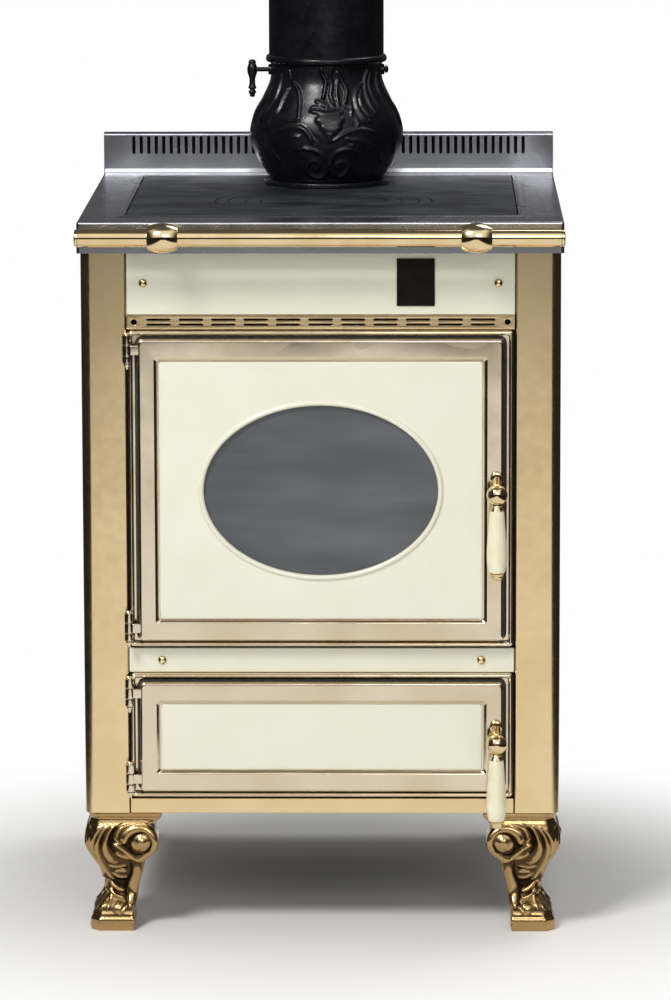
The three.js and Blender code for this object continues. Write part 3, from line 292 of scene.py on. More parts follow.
# Satin brass, rubbed with fine grit along its length: soft reflections, a faint grain and
# slow changes of tone where the lacquer is thinner.
brushed_brass, tree, shader = finish("brushed_brass", "#C2A776", 0.36, 1.0)
two_tone(tree, shader, "#EBD09E", "#F2D8A8", wandering(tree, 90, detail=1))
between(tree, shader, "Roughness", 0.17, 0.22, wandering(tree, 14))
relief(tree, shader, 0.01, wandering(tree, 1.0, (1, 1, 0.12), 2))


def arc(x, y, radius, start, end, steps=8):
    """Points on part of a circle."""
    angles = [math.radians(start + (end - start) * i / steps) for i in range(steps + 1)]
    return [(x + radius * math.cos(a), y + radius * math.sin(a)) for a in angles]


def prism(bm, points, low, high):
    """A closed outline in plan, raised from one height to another."""
    face = bm.faces.new([bm.verts.new((x, y, low)) for x, y in points])
    raised = bmesh.ops.extrude_face_region(bm, geom=[face])["geom"]
    tops = [v for v in raised if isinstance(v, bmesh.types.BMVert)]
    bmesh.ops.translate(bm, vec=(0, 0, high - low), verts=tops)


post_z = spans("corner_post_left")[2]
fold_section = [
    (post_inner, post_lip), *arc(post_inner + 2, 2, 2, 180, 270, 5),
    *arc(post_outer - post_corner, post_corner, post_corner, -90, 0, 20),
    (post_outer, post_depth), (post_outer - post_sheet, post_depth),
    *arc(post_outer - post_corner, post_corner, post_corner - post_sheet, 0, -90, 12),
    (post_inner + post_sheet, post_sheet), (post_inner + post_sheet, post_lip),
]
for side, sign in sides:
    bm = bmesh.new()
    prism(bm, [(sign * x, y) for x, y in fold_section], *post_z)
    piece(f"post_{side}", bm, brushed_brass, replaces=[f"corner_post_{side}"],
          edge=0.3)

# The lip behind it, which the strips are screwed to, is coated black like the cabinet's sides; its
# black is also painted shade that darkens the gaps beside the strips.
# Stoved black coating: dark, a little uneven, with a low sheen.
stoved_black, tree, shader = finish("stoved_black", "#141312", 0.5, Specular_IOR_Level=0.12)
two_tone(tree, shader, "#121110", "#191817", wandering(tree, 60))
between(tree, shader, "Roughness", 0.44, 0.58, wandering(tree, 25))
relief(tree, shader, 0.02, wandering(tree, 1.6, detail=2))

lip_x = (post_inner + post_sheet - lip_width, post_inner + post_sheet)
lip_y = (post_lip + 0.2, post_lip + post_sheet)
lip_section = [(lip_x[0], lip_y[0]), (lip_x[1], lip_y[0]), (lip_x[1], lip_y[1]),
               (lip_x[0], lip_y[1])]
for side, sign in sides:
    bm = bmesh.new()
    prism(bm, [(sign * x, y) for x, y in lip_section], *post_z)
    piece(f"lip_{side}", bm, stoved_black, replaces=[f"corner_post_{side}"])

# ------------------------------------------------------------------ side, back and base panels
# Plain steel sheets, coated black, that close the cabinet behind the posts. Their shape is the
# frame's own.


def dress(node, material):
    """Gives a frame node its material."""
    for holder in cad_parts[node].material_slots:
        holder.material = material


for node in ("side_panel_left", "side_panel_right", "back_panel", "base_panel"):
    dress(node, stoved_black)

# ------------------------------------------------------------------ front strips
# The plinth, the rail between the doors and the fascia are trays pressed from sheet steel, with
# rounded edges. The two upper ones are enamelled, and domed screws hold them to the posts' lips.
half_front = 240
tray_depth = 5
tray_sheet = 2
tray_edge = 1.2
tray_corner = 1.6


def rounded(x0, x1, v0, v1, corner, w, arc_steps=5):
    """A rectangle with rounded corners, lying at height w."""
    centres = ((x1 - corner, v0 + corner, -90), (x1 - corner, v1 - corner, 0),
               (x0 + corner, v1 - corner, 90), (x0 + corner, v0 + corner, 180))
    return [(x, v, w) for cx, cv, start in centres
            for x, v in arc(cx, cv, corner, start, start + 90, arc_steps)]


def loop(bm, points):
    """A closed line of edges through the points."""
    verts = [bm.verts.new(point) for point in points]
    for pair in zip(verts, verts[1:] + verts[:1]):
        bm.edges.new(pair)
    return verts


def contours(bm, x, v, rows, corner, tighter=0, least=0, arc_steps=5):
    """A closed line round a rectangle for each inset and height, its corners tighter inwards."""
    return [loop(bm, rounded(x[0] + inset, x[1] - inset, v[0] + inset, v[1] - inset,
                             max(corner - tighter * inset, least), w, arc_steps))
            for inset, w in rows]


def skin(bm, loops, closed=False):
    """Faces between each closed line and the next, point by point."""
    following = loops[1:] + (loops[:1] if closed else [])
    for one, other in zip(loops, following):
        for a, b, c, d in zip(one, one[1:] + one[:1], other[1:] + other[:1], other):
            bm.faces.new((a, b, c, d))


def fill(bm, *loops):
    """A flat face inside the first line, with the others as holes."""
    edges = [bm.edges.get(pair) for line in loops for pair in zip(line, line[1:] + line[:1])]
    bmesh.ops.triangle_fill(bm, use_beauty=True, edges=edges)


def capped(bm, loops):
    """A skin over the lines, with a flat face inside the first and the last."""
    skin(bm, loops)
    fill(bm, loops[0])
    fill(bm, loops[-1])


def stand(bm):
    """Stands up what was drawn lying down, so that its top faces forward."""
    bmesh.ops.rotate(bm, matrix=Matrix.Rotation(math.pi / 2, 3, "X"), verts=bm.verts)


def tray(z):
    """A front strip of the given height: a shallow sheet tray with a round front edge."""
    bm = bmesh.new()
    rows = [(tray_sheet, -tray_sheet), (tray_sheet, -tray_depth), (0, -tray_depth)]
    rows += [(tray_edge * (1 - math.cos(a)), tray_edge * (math.sin(a) - 1))
             for a in (math.pi / 2 * i / 4 for i in range(5))]
    capped(bm, contours(bm, (-half_front, half_front), z, rows, tray_corner, 1,
                        tray_corner - tray_edge))
    stand(bm)
    return bm


# Vitreous enamel: a thick glassy cream coat, very even, with a slight orange peel.
cream_enamel, tree, shader = finish("cream_enamel", "#ECE9D6", 0.14, Coat_Weight=0.35,
                                    Coat_Roughness=0.06)
two_tone(tree, shader, "#E6E4D0", "#EAE8D5", wandering(tree, 70))
between(tree, shader, "Roughness", 0.12, 0.2, wandering(tree, 30))
relief(tree, shader, 0.02, wandering(tree, 9, detail=1))

for name, node, look, slot in (
    ("plinth", "plinth_rail", brushed_brass, "satin_brass"),
    ("rail_between_doors", "middle_rail", cream_enamel, "cream_enamel"),
    ("fascia", "upper_fascia", cream_enamel, "cream_enamel"),
):
    piece(name, tray(spans(node)[2]), look, replaces=[node])

# Polished brass: a hard mirror of the studio, with a little haze where hands touch it.
polished_brass, tree, shader = finish("polished_brass", "#D6BB8A", 0.08, 1.0)
two_tone(tree, shader, "#E5CA98", "#EDD6AA", wandering(tree, 40, detail=1))
between(tree, shader, "Roughness", 0.06, 0.13, wandering(tree, 12))


def turned(bm, outline, at, axis="up", steps=48, closed=False):
    """Spins an outline of radius and height round an axis through the point."""
    old = set(bm.verts)
    verts = [bm.verts.new((radius, 0, height)) for radius, height in outline]
    edges = [bm.edges.new(pair) for pair in zip(verts, verts[1:])]
    if closed:
        edges.append(bm.edges.new((verts[-1], verts[0])))
    bmesh.ops.spin(bm, geom=verts + edges, cent=(0, 0, 0), axis=(0, 0, 1), dvec=(0, 0, 0),
                   angle=2 * math.pi, steps=steps, use_merge=True, use_normal_flip=False,
                   use_duplicate=False)
    bmesh.ops.remove_doubles(bm, verts=[v for v in bm.verts if v not in old], dist=0.002)
    new = [v for v in bm.verts if v not in old]
    turn = {"up": Matrix.Identity(3), "across": Matrix.Rotation(math.pi / 2, 3, "Y"),
            "out": Matrix.Rotation(math.pi / 2, 3, "X")}[axis]
    bmesh.ops.rotate(bm, matrix=turn, verts=new)
    bmesh.ops.translate(bm, vec=at, verts=new)
    return new


screw_head = [(0, 2.2), (1.6, 2.2), (1.9, 3.5), (3.0, 3.25), (4.2, 2.5), (5.1, 1.5), (5.5, 0.6),
              (5.5, 0.1), (0, 0.1)]
for name, x, z in (("fascia_screw", 219.5, 822), ("rail_screw", 199, 348.5)):
    for side, sign in sides:
        bm = bmesh.new()
        turned(bm, screw_head, (sign * x, 0, z), "out", 32)
        piece(f"{name}_{side}", bm, polished_brass)

# ------------------------------------------------------------------ small plate
# A plain enamelled steel plate set on the fascia, right of the middle. Its edges are softly
# rounded, and it is left bare.
blank_rows = ((0, 0.3), (0, 1.3), (0.2, 1.65), (0.6, 1.8))
x, _, z = spans("blank_plate")
bm = bmesh.new()
capped(bm, contours(bm, x, z, blank_rows, 1.4, 1))
stand(bm)

# Black vitreous enamel: a deep, glassy black.
black_enamel, tree, shader = finish("black_enamel", "#151210", 0.2, Specular_IOR_Level=0.1)
two_tone(tree, shader, "#14110E", "#1C1814", wandering(tree, 20))
between(tree, shader, "Roughness", 0.16, 0.26, wandering(tree, 8))
relief(tree, shader, 0.03, wandering(tree, 5, detail=1))
piece("small_plate", bm, black_enamel, replaces=["blank_plate"])

# ------------------------------------------------------------------ vent strip
# A brass strip above the door, with two rows of punched slots and a screw hole at each end. The
# cooling air leaves the cabinet through it.
vent_z = spans("vent_strip")[2]
vent_middle = sum(vent_z) / 2
vent_sheet = 2
vent_pairs = 11
vent_slot = (30, 3)
vent_row = 3.1
vent_hole = 3.6
vent_hole_x = 231
vent_pitch = (2 * half_front - 36 - vent_slot[1]) / vent_pairs
vent_edge = 0.35

bm = bmesh.new()
openings = [(x, z, vent_slot[0] / 2, vent_slot[1] / 2)
            for x in ((i - (vent_pairs - 1) / 2) * vent_pitch for i in range(vent_pairs))
            for z in (vent_middle - vent_row, vent_middle + vent_row)]
openings += [(side * vent_hole_x, vent_middle, vent_hole, vent_hole) for side in (-1, 1)]
outlines = [((-half_front, half_front), vent_z, 1, vent_edge)]
outlines += [((x - half, x + half), (z - rise, z + rise), rise - 0.03, -vent_edge)
             for x, z, half, rise in openings]
vent_front = []
vent_back = []
for x, z, corner, inset in outlines:
    rows = ((inset, 0), (inset * 0.3, -vent_edge * 0.3), (0, -vent_edge), (0, -vent_sheet))
    loops = contours(bm, x, z, rows, corner, 1, 0, 4)
    skin(bm, loops)
    vent_front.append(loops[0])
    vent_back.append(loops[-1])
fill(bm, *vent_front)
fill(bm, *vent_back)
stand(bm)
piece("vent_grille", bm, brushed_brass, replaces=["vent_strip"], sharp=50)

# ------------------------------------------------------------------ door surrounds
# Two frames cast in brass and plated, each with a round-edged rim, a flat flange behind the
# door and the outer knuckles of its hinges. A notch in the flange lets the latch through.
half_surround = 238
rim_width = 5.5
rim_out = 10.5
flange_out = 1
flange_back = -5
knuckle_radius = 5.6
pin_bore = 3
knuckle_heights = (12, 13, 9)
knuckle_gap = 0.5
hinge_x = -239
hinge_y = -17
pin_head = 2.88
half_mouth = 204
notch_reach = 229.5
notch_half = 18
handle_x = 217.5
bays = {"firebox": {"mouth": (401, 729.8), "handle": 581.4},
        "ash": {"mouth": (196, 312.6), "handle": 268.0}}
for name, bay in bays.items():
    bay["low"], bay["high"] = spans(f"{name}_door_surround")[2]
    bay["hinges"] = [spans(f"{name}_hinge_pin_{level}")[2][1] - pin_head
                     for level in ("upper", "lower")]


def knuckle_spans(top):
    """The heights of a hinge's three knuckles, from the top one down."""
    spans = []
    for height in knuckle_heights:
        spans.append((top - height, top))
        top -= height + knuckle_gap
    return spans


def knuckle(bm, low, high):
    """One knuckle, bored for the pin, with its ends rounded."""
    turned(bm, [(pin_bore, low), (knuckle_radius - 0.9, low), (knuckle_radius - 0.25, low + 0.3),
                (knuckle_radius, low + 1), (knuckle_radius, high - 1),
                (knuckle_radius - 0.25, high - 0.3), (knuckle_radius - 0.9, high),
                (pin_bore, high)], (hinge_x, hinge_y, 0), "up", 40, closed=True)


def rounded_block(bm, x0, x1, y0, y1, z0, z1, edge):
    """A block with its edges worked round."""
    made = bmesh.ops.create_cube(bm, size=1)["verts"]
    bmesh.ops.scale(bm, vec=(x1 - x0, y1 - y0, z1 - z0), verts=made)
    bmesh.ops.translate(bm, vec=((x0 + x1) / 2, (y0 + y1) / 2, (z0 + z1) / 2), verts=made)
    edges = list({e for v in made for e in v.link_edges})
    bmesh.ops.bevel(bm, geom=edges, offset=edge, offset_type="OFFSET", segments=3, profile=0.5,
                    affect="EDGES", material=-1)


# Polished plating over a brass casting: a pale, warm mirror, slightly wavy from the casting.
plated_casting, tree, shader = finish("plated_casting", "#D0BEA5", 0.13, 1.0)
two_tone(tree, shader, "#DDCBAC", "#E8D9C0", wandering(tree, 90, detail=1))
between(tree, shader, "Roughness", 0.08, 0.15, wandering(tree, 20))
relief(tree, shader, 0.35, wandering(tree, 60, detail=0))

rim_rows = [(0, flange_back), (0, 7.6), (0.35, 9.1), (1.3, 10.2), (2.5, rim_out), (3.3, 10.3),
            (4.5, 9.5), (5.2, 8.3), (rim_width, 6.6), (rim_width, flange_back)]
for name, bay in bays.items():
    x, z = (-half_surround, half_surround), (bay["low"], bay["high"])
    notch_z = (bay["handle"] - notch_half, bay["handle"] + notch_half)
    bm = bmesh.new()
    skin(bm, contours(bm, x, z, rim_rows, 4.2, 0.3, 2), closed=True)
    flange_lines = []
    for out in (flange_out, flange_back):
        # The notch comes after the six points of the mouth's first corner.
        mouth = rounded(-half_mouth, half_mouth, *bay["mouth"], 3, out)
        mouth[6:6] = [(half_mouth, notch_z[0], out), (notch_reach, notch_z[0], out),
                      (notch_reach, notch_z[1], out), (half_mouth, notch_z[1], out)]
        flange_lines.append((*contours(bm, x, z, [(rim_width - 0.4, out)], 3), loop(bm, mouth)))
    for one, other in zip(*flange_lines):
        skin(bm, [one, other])
    for lines in flange_lines:
        fill(bm, *lines)
    stand(bm)
    for top in bay["hinges"]:
        upper, _, lower = knuckle_spans(top)
        for low, high in (upper, lower):
            knuckle(bm, low, high)
            rounded_block(bm, hinge_x - 1.2, hinge_x + 2.8, hinge_y + 3.6, -6, low + 0.4,
                          high - 0.4, 0.8)
    piece(f"{name}_surround", bm, plated_casting,
          replaces=[f"{name}_door_surround"])

# Hinge pins: a domed head above the upper knuckle and a turned tip below the lower one.
for name, bay in bays.items():
    for level, top in zip(("upper", "lower"), bay["hinges"]):
        bottom = knuckle_spans(top)[2][0]
        bm = bmesh.new()
        turned(bm, [(0, bottom - 8.5), (1.2, bottom - 8.1), (1.9, bottom - 7), (2.1, bottom - 5.5),
                    (2.6, bottom - 4.6), (3.7, bottom - 3.2), (4.2, bottom - 1.6),
                    (3.9, bottom - 0.6), (3.2, bottom - 0.3), (2.7, bottom - 0.3),
                    (2.7, top + 0.3), (4.4, top + 0.3), (4.8, top + 0.8), (4.4, top + 1.6),
                    (3.3, top + 2.4), (1.7, top + 2.8), (0, top + pin_head)],
               (hinge_x, hinge_y, 0), "up", 32)
        piece(f"{name}_pin_{level}", bm, plated_casting,
              replaces=[f"{name}_hinge_pin_{level}"])

# ------------------------------------------------------------------ door frames
# Each door is a cast and plated frame with rounded outer edges and a chamfer towards the panel.
# Behind are a ledge that the panel and glass lie against and a rebate for the sealing rope.
half_door = 226.2
door_gap = 9
door_border = (24.2, 26)
door_out = (7, 21)
ledge_out = (11.1, 15.2)
ledge_reach = 12
rebate = (8, 9.2)
frame_rows = [
    (0, rebate[1]), (0, 17.3), (0.3, 18.8), (1.1, 20.1), (2.3, 20.8), (3.6, door_out[1]),
]
chamfer_rows = [(-4.2, door_out[1]), (-3.4, 20.8), (-0.7, 18.6)]
ledge_rows = [
    (0, 17.6), (0, ledge_out[1]), (ledge_reach, ledge_out[1]), (ledge_reach, ledge_out[0]),
    (0, ledge_out[0]), (0, door_out[0]),
]
rebate_rows = [(rebate[0], door_out[0]), rebate]
for name, bay in bays.items():
    x, z = (-half_door, half_door), (bay["low"] + door_gap, bay["high"] - door_gap)
    inner = [(low + border, high - border) for (low, high), border in zip((x, z), door_border)]
    bm = bmesh.new()
    skin(bm, [
        *contours(bm, x, z, frame_rows, 5.5, 0.3, 3), *contours(bm, *inner, chamfer_rows, 4),
        *contours(bm, *inner, ledge_rows, 3), *contours(bm, x, z, rebate_rows, 3),
    ], closed=True)
    stand(bm)
    for top in bay["hinges"]:
        low, high = knuckle_spans(top)[1]
        knuckle(bm, low, high)
        rounded_block(bm, hinge_x + 3.4, 6 - half_door, hinge_y - 3.4, hinge_y + 4.4, low + 0.5,
                      high - 0.5, 1.6)
    piece(f"{name}_frame", bm, plated_casting, f"{name}_door",
          [f"{name}_door_frame"])

# ------------------------------------------------------------------ sealing ropes
# Black glass-fibre rope, plaited from six strands, lies in the rebate behind each door and shows
# in the gap round it.
rope_radius = 3.5
rope_out = 5.1
strand_count = 6
strand_radius = 1.35
strand_turn = 26
strand_sides = 6
strand_steps = 8
half_rope = 230.5
rope_end = 6.7
rope_corner = 6

# Glass-fibre yarn: matt black, with paler worn fibres on the crowns of the strands.
seal_yarn, tree, shader = finish("seal_yarn", "#1B1A19", 0.9, Sheen_Weight=0.25)
two_tone(tree, shader, "#100F0F", "#3D3A36", wandering(tree, 1.8, detail=4))
relief(tree, shader, 0.2, wandering(tree, 0.7, detail=2))

for name, bay in bays.items():
    z0, z1 = bay["low"] + rope_end + rope_radius, bay["high"] - rope_end - rope_radius
    x1 = half_rope - rope_radius
    path = [Vector(point) for point in rounded(-x1, x1, z0, z1, rope_corner, 0, 6)]
    lengths = [(b - a).length for a, b in zip(path, path[1:] + path[:1])]
    total = sum(lengths)
    turns = round(total / strand_turn)
    steps = turns * strand_steps
    bm = bmesh.new()
    for strand in range(strand_count):
        rings = []
        segment, gone = 0, 0.0
        for step in range(steps):
            along = total * step / steps
            while gone + lengths[segment] < along:
                gone += lengths[segment]
                segment += 1
            start, end = path[segment], path[(segment + 1) % len(path)]
            forward = (end - start).normalized()
            centre = start.lerp(end, (along - gone) / lengths[segment])
            angle = 2 * math.pi * (turns * step / steps + strand / strand_count)
            offset = (Vector((forward.y, -forward.x, 0)) * math.cos(angle)
                      + Vector((0, 0, 1)) * math.sin(angle))
            middle = centre + offset * (rope_radius - strand_radius)
            sideways = forward.cross(offset)
            rings.append([middle + (offset * math.cos(t) + sideways * math.sin(t)) * strand_radius
                          for t in (2 * math.pi * k / strand_sides for k in range(strand_sides))])
        loops = [loop(bm, [(p.x, p.y, p.z + rope_out) for p in ring]) for ring in rings]
        skin(bm, loops, closed=True)
    stand(bm)
    piece(f"{name}_rope", bm, seal_yarn, f"{name}_door", [f"{name}_door_rope"],
          sharp=80)

# ------------------------------------------------------------------ door panels
# Enamelled steel panels with rounded edges. The upper one is pressed round an oval window with a
# half-round bead, and the lower one is plain.
half_panel = 200
panel_gap = 2
panel_out = (15.5, 18.5)
panel_rows = [(0, panel_out[0]), (0, 17.3), (0.25, 18), (0.7, 18.4), (1.4, panel_out[1])]
window = (145, 106.2)
bead_rows = [(7.3, 18.5), (6.9, 19.1), (6.0, 20.2), (4.8, 21.2), (3.5, 21.7), (2.2, 21.5),
             (1.0, 20.7), (0.3, 19.5), (0, 18.3), (0, panel_out[0])]
bead_steps = 23


def oval(z, half_width, half_height, w, count):
    """An ellipse whose points keep pace with those of a rounded rectangle."""
    angles = [math.radians(-90 + 360 * (i + 0.5) / count) for i in range(count)]
    return [(half_width * math.cos(a), z + half_height * math.sin(a), w) for a in angles]


for name, bay in bays.items():
    z = (bay["low"] + door_gap + door_border[1] + panel_gap,
         bay["high"] - door_gap - door_border[1] - panel_gap)
    bm = bmesh.new()
    loops = contours(bm, (-half_panel, half_panel), z, panel_rows, 3.2, 0.8, 0, bead_steps)
    if name == "firebox":
        bead = [loop(bm, oval(sum(z) / 2, window[0] + grow, window[1] + grow, out,
                              4 * (bead_steps + 1))) for grow, out in bead_rows]
        skin(bm, loops)
        skin(bm, bead)
        fill(bm, loops[-1], bead[0])
        fill(bm, loops[0], bead[-1])
    else:
        capped(bm, loops)
    stand(bm)
    piece(f"{name}_panel", bm, cream_enamel, f"{name}_door",
          [f"{name}_door_panel"])

# ------------------------------------------------------------------ window
# Heat-resistant glass behind the oval, in a flat steel retainer. It carries a thin grey haze of
# smoke, thicker in some places than in others.
glass, tree, shader = finish("window_glass", "#63656A", 0.07, IOR=1.5)
two_tone(tree, shader, "#505356", "#65686C", wandering(tree, 60, (0.3, 1, 1.6), 2))
between(tree, shader, "Alpha", 0.8, 0.9, wandering(tree, 60, (0.4, 1, 1.3), 1))
dress("firebox_glass", glass)

# Boiler plate, rolled: dark grey-brown scale with rubbed patches.
boiler_plate, tree, shader = finish("boiler_plate", "#3C3B3B", 0.62, 0.6)
two_tone(tree, shader, "#2A2827", "#4E4C4B", wandering(tree, 35, detail=5))
between(tree, shader, "Roughness", 0.5, 0.75, wandering(tree, 12))
relief(tree, shader, 0.2, wandering(tree, 3, detail=4))
for node in ("firebox_glass_retainer", "firebox_latch", "ash_latch", "firebox_shell",
             "log_retainer", "ash_pan"):
    dress(node, boiler_plate)

# ------------------------------------------------------------------ door handles
# A polished brass boss, neck and ball carry a turned rod with a flared ferrule, a glazed
# porcelain grip and an end nut. The handle turns its latch behind the door.
ball_radius = 12.9
ball_y = -52
ball_drop = 16
grip_drop = 20
grip_length = 77
boss_radius = 7.7
boss_out = (21.3, 31)
boss_rows = [(0, 23), (-0.9, 23.6), (-0.9, 28), (-0.1, 28.8), (-0.4, 30.4), (-2, boss_out[1])]
ferrule = [(8.3, 2.2), (9.1, 0.9), (8.7, 0.3), (3, 0.3)]
end_nut = [(3, 0.5), (8.4, 0.5), (9.1, 1.2), (9.0, 2.3), (7.6, 3.4), (7.2, 5), (7.5, 6), (6.2, 8),
           (3.8, 9.6), (0, 10)]
grip_shares = [(8.6, 0), (9.1, 0.012), (9.3, 0.05), (9.9, 0.16), (10.7, 0.3), (11.6, 0.44),
               (12.3, 0.58), (12.6, 0.7), (12.5, 0.8), (11.8, 0.9), (10.7, 0.965), (9.9, 0.99),
               (9.3, 1)]

# Glazed porcelain: ivory, glassy, with a faint warm mottle.
porcelain, tree, shader = finish("porcelain", "#F1EBCA", 0.1, Coat_Weight=0.6,
                                 Coat_Roughness=0.04)
two_tone(tree, shader, "#EEE6C2", "#F4EFD4", wandering(tree, 18))
between(tree, shader, "Roughness", 0.08, 0.16, wandering(tree, 6))

for name, bay in bays.items():
    ball_z = bay["handle"] - ball_drop
    ball_low = ball_z - ball_radius
    grip_top = ball_z - grip_drop
    grip_low = grip_top - grip_length
    bm = bmesh.new()
    turned(bm, [(0, -9.9), (4, -9.9), (4, boss_out[0]), (boss_radius, boss_out[0]),
                *[(boss_radius + grow, out) for grow, out in boss_rows], (0, boss_out[1])],
           (handle_x, 0, bay["handle"]), "out", 40)
    neck = Vector((0, ball_y + boss_out[1] - 5, -ball_drop))
    bars = turned(bm, [(0, 0), (6.2, 0), (5.4, neck.length * 0.35), (5.6, neck.length * 0.6),
                       (7.2, neck.length), (0, neck.length)], (0, 0, 0), "up", 32)
    bmesh.ops.rotate(bm, verts=bars, matrix=neck.to_track_quat("Z", "Y").to_matrix())
    bmesh.ops.translate(bm, verts=bars, vec=(handle_x, 5 - boss_out[1], bay["handle"]))
    ball_arc = [(ball_radius * math.sin(a), -ball_radius * math.cos(a))
                for a in (math.pi * i / 24 for i in range(25))]
    ball_arc[0], ball_arc[-1] = (0, -ball_radius), (0, ball_radius)
    turned(bm, ball_arc, (handle_x, ball_y, ball_z), "up", 48)
    turned(bm, [(0, ball_z - 6), (6.2, ball_z - 6), (6.2, ball_low + 0.3), (6.9, ball_low - 0.6),
                (6.3, ball_low - 1.6), (6.9, ball_low - 3),
                *[(radius, grip_top + rise) for radius, rise in ferrule],
                *[(radius, grip_low - drop) for radius, drop in end_nut]],
           (handle_x, ball_y, 0), "up", 48)
    piece(f"{name}_arm", bm, polished_brass, f"{name}_handle",
          [f"{name}_handle_arm"], sharp=50)
    bm = bmesh.new()
    turned(bm, [(3.3, grip_top), *[(radius, grip_top - share * grip_length)
                                   for radius, share in grip_shares],
                (3.3, grip_low)], (handle_x, ball_y, 0), "up", 48, closed=True)
    piece(f"{name}_grip", bm, porcelain, f"{name}_handle", [f"{name}_handle_grip"],
          sharp=60)

# ------------------------------------------------------------------ hob
# Brushed steel sheet folded down all round, with a raised lip round the opening. The cooking
# plate, its three rings and the lid are cast iron, ground flat and blacked.
half_hob = 300
hob_x = (-half_hob, half_hob)
hob_y = (-20, 580)
hob_z = (861, 900)
hob_sheet = 2
half_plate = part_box("hob_plate")[1].x / mm
plate_x = (-half_plate, half_plate)
plate_y = [(corner.y - front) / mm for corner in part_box("hob_plate")]

# Stainless steel, brushed with coarse grit: soft silvery reflections over a fine grain.
brushed_steel, tree, shader = finish("brushed_steel", "#A2A3A9", 0.33, 1.0)
two_tone(tree, shader, "#AEAFB5", "#B9BAC0", wandering(tree, 70, detail=2))
between(tree, shader, "Roughness", 0.22, 0.28, wandering(tree, 40, detail=1))

bm = bmesh.new()
hob_rows = [(0, hob_z[0]), (0, 896.6), (0.3, 898.3), (1.3, 899.5), (3, hob_z[1])]
lip_rows = [(-9.5, 900), (-8.6, 900.7), (-7.4, 901.1), (-3.2, 901.1), (-2.1, 900.8), (-1.5, 900),
            (-1.5, 889.7), (10.5, 889.7), (10.5, 885.7), (-5.5, 885.7), (-5.5, 898)]
lining_rows = [(hob_sheet, hob_z[1] - hob_sheet), (hob_sheet, hob_z[0])]
skin(bm, [*contours(bm, hob_x, hob_y, hob_rows, 4), *contours(bm, plate_x, plate_y, lip_rows, 3),
          *contours(bm, hob_x, hob_y, lining_rows, 3)], closed=True)
piece("hob_top", bm, brushed_steel, replaces=["hob_frame"])

flue_y = 445
ring_y = 223
ring_radii = [138, 122, 99.5, 80]
ring_lip = 6
ring_gap = 0.8
ring_edge = ((0, 898.9), (0.2, 899.5), (1.1, 900))
plate_z = (890, 900)
plate_edge = 1.0
step_z = (895, 895.3)
flue_hole = 66
circle_steps = 96

# Ground and blacked cast iron: nearly black, with grey clouds where pans have rubbed it.
blacked_iron, tree, shader = finish("blacked_iron", "#3A3C3F", 0.45, 0.6)
two_tone(tree, shader, "#25262A", "#4C4F55", wandering(tree, 60, (0.6, 1, 1), 5))
between(tree, shader, "Roughness", 0.34, 0.52, wandering(tree, 30, (0.5, 1, 1), 4))
relief(tree, shader, 0.03, wandering(tree, 2.2, detail=3))


def circle(y, radius, z):
    """Points round an upright axis on the middle line."""
    angles = [2 * math.pi * i / circle_steps for i in range(circle_steps)]
    return [(radius * math.cos(a), y + radius * math.sin(a), z) for a in angles]


bm = bmesh.new()
plate_rows = ((0, plate_z[0]), (0, plate_z[1] - plate_edge), (0.3, 899.7),
              (plate_edge, plate_z[1]))
loops = contours(bm, plate_x, plate_y, plate_rows, 3, 1)
skin(bm, loops)
flue_lines = [loop(bm, circle(flue_y, flue_hole, z)) for z in plate_z]
skin(bm, flue_lines)
ring_rows = [(-ring_lip, plate_z[0]), (-ring_lip, step_z[0]), (0, step_z[0]), (0, 898.9),
             (1.1, plate_z[1])]
ring_lines = [loop(bm, circle(ring_y, ring_radii[0] + grow, z)) for grow, z in ring_rows]
skin(bm, ring_lines)
fill(bm, loops[-1], flue_lines[1], ring_lines[-1])
fill(bm, loops[0], flue_lines[0], ring_lines[0])
for side in (-1, 1):
    x = side * (half_plate - 51.7)
    rounded_block(bm, x - 3, x + 3, plate_y[0] + 30, plate_y[1] - 30, 883, 889.9, 1)
piece("cooking_plate", bm, blacked_iron, replaces=["hob_plate"])

for index, name in enumerate(("outer", "middle", "inner")):
    outer, inner = ring_radii[index] - ring_gap, ring_radii[index + 1]
    bm = bmesh.new()
    turned(bm, [(inner - ring_lip, plate_z[0]), (outer - ring_lip, plate_z[0]),
                (outer - ring_lip, step_z[1]), (outer, step_z[1]),
                *[(outer - inset, z) for inset, z in ring_edge],
                *[(inner + inset, z) for inset, z in reversed(ring_edge)],
                (inner, step_z[0]), (inner - ring_lip, step_z[0])],
           (0, ring_y, 0), "up", circle_steps, closed=True)
    piece(f"ring_{name}", bm, blacked_iron, f"ring_{name}", [f"hob_ring_{name}"])

# The lid has a blind slot near its rim for the lifting tool.
lid = ring_radii[-1] - ring_gap
lid_slot_x = (ring_radii[-1] - 26.6, ring_radii[-1] - 8.6)
lid_slot_y = (ring_y - 4, ring_y + 4)
lid_rows = [*reversed(ring_edge), (0, step_z[1]), (ring_lip, step_z[1]), (ring_lip, plate_z[0])]
bm = bmesh.new()
lid_lines = [loop(bm, circle(ring_y, lid - inset, z)) for inset, z in lid_rows]
skin(bm, lid_lines)
slot_lines = contours(bm, lid_slot_x, lid_slot_y, ((-0.6, plate_z[1]), (0, 899.4), (0, 896)),
                      3.5, 1)
skin(bm, slot_lines)
fill(bm, lid_lines[0], slot_lines[0])
fill(bm, slot_lines[-1])
fill(bm, lid_lines[-1])
piece("lid_plate", bm, blacked_iron, "lid", ["hob_lid"])

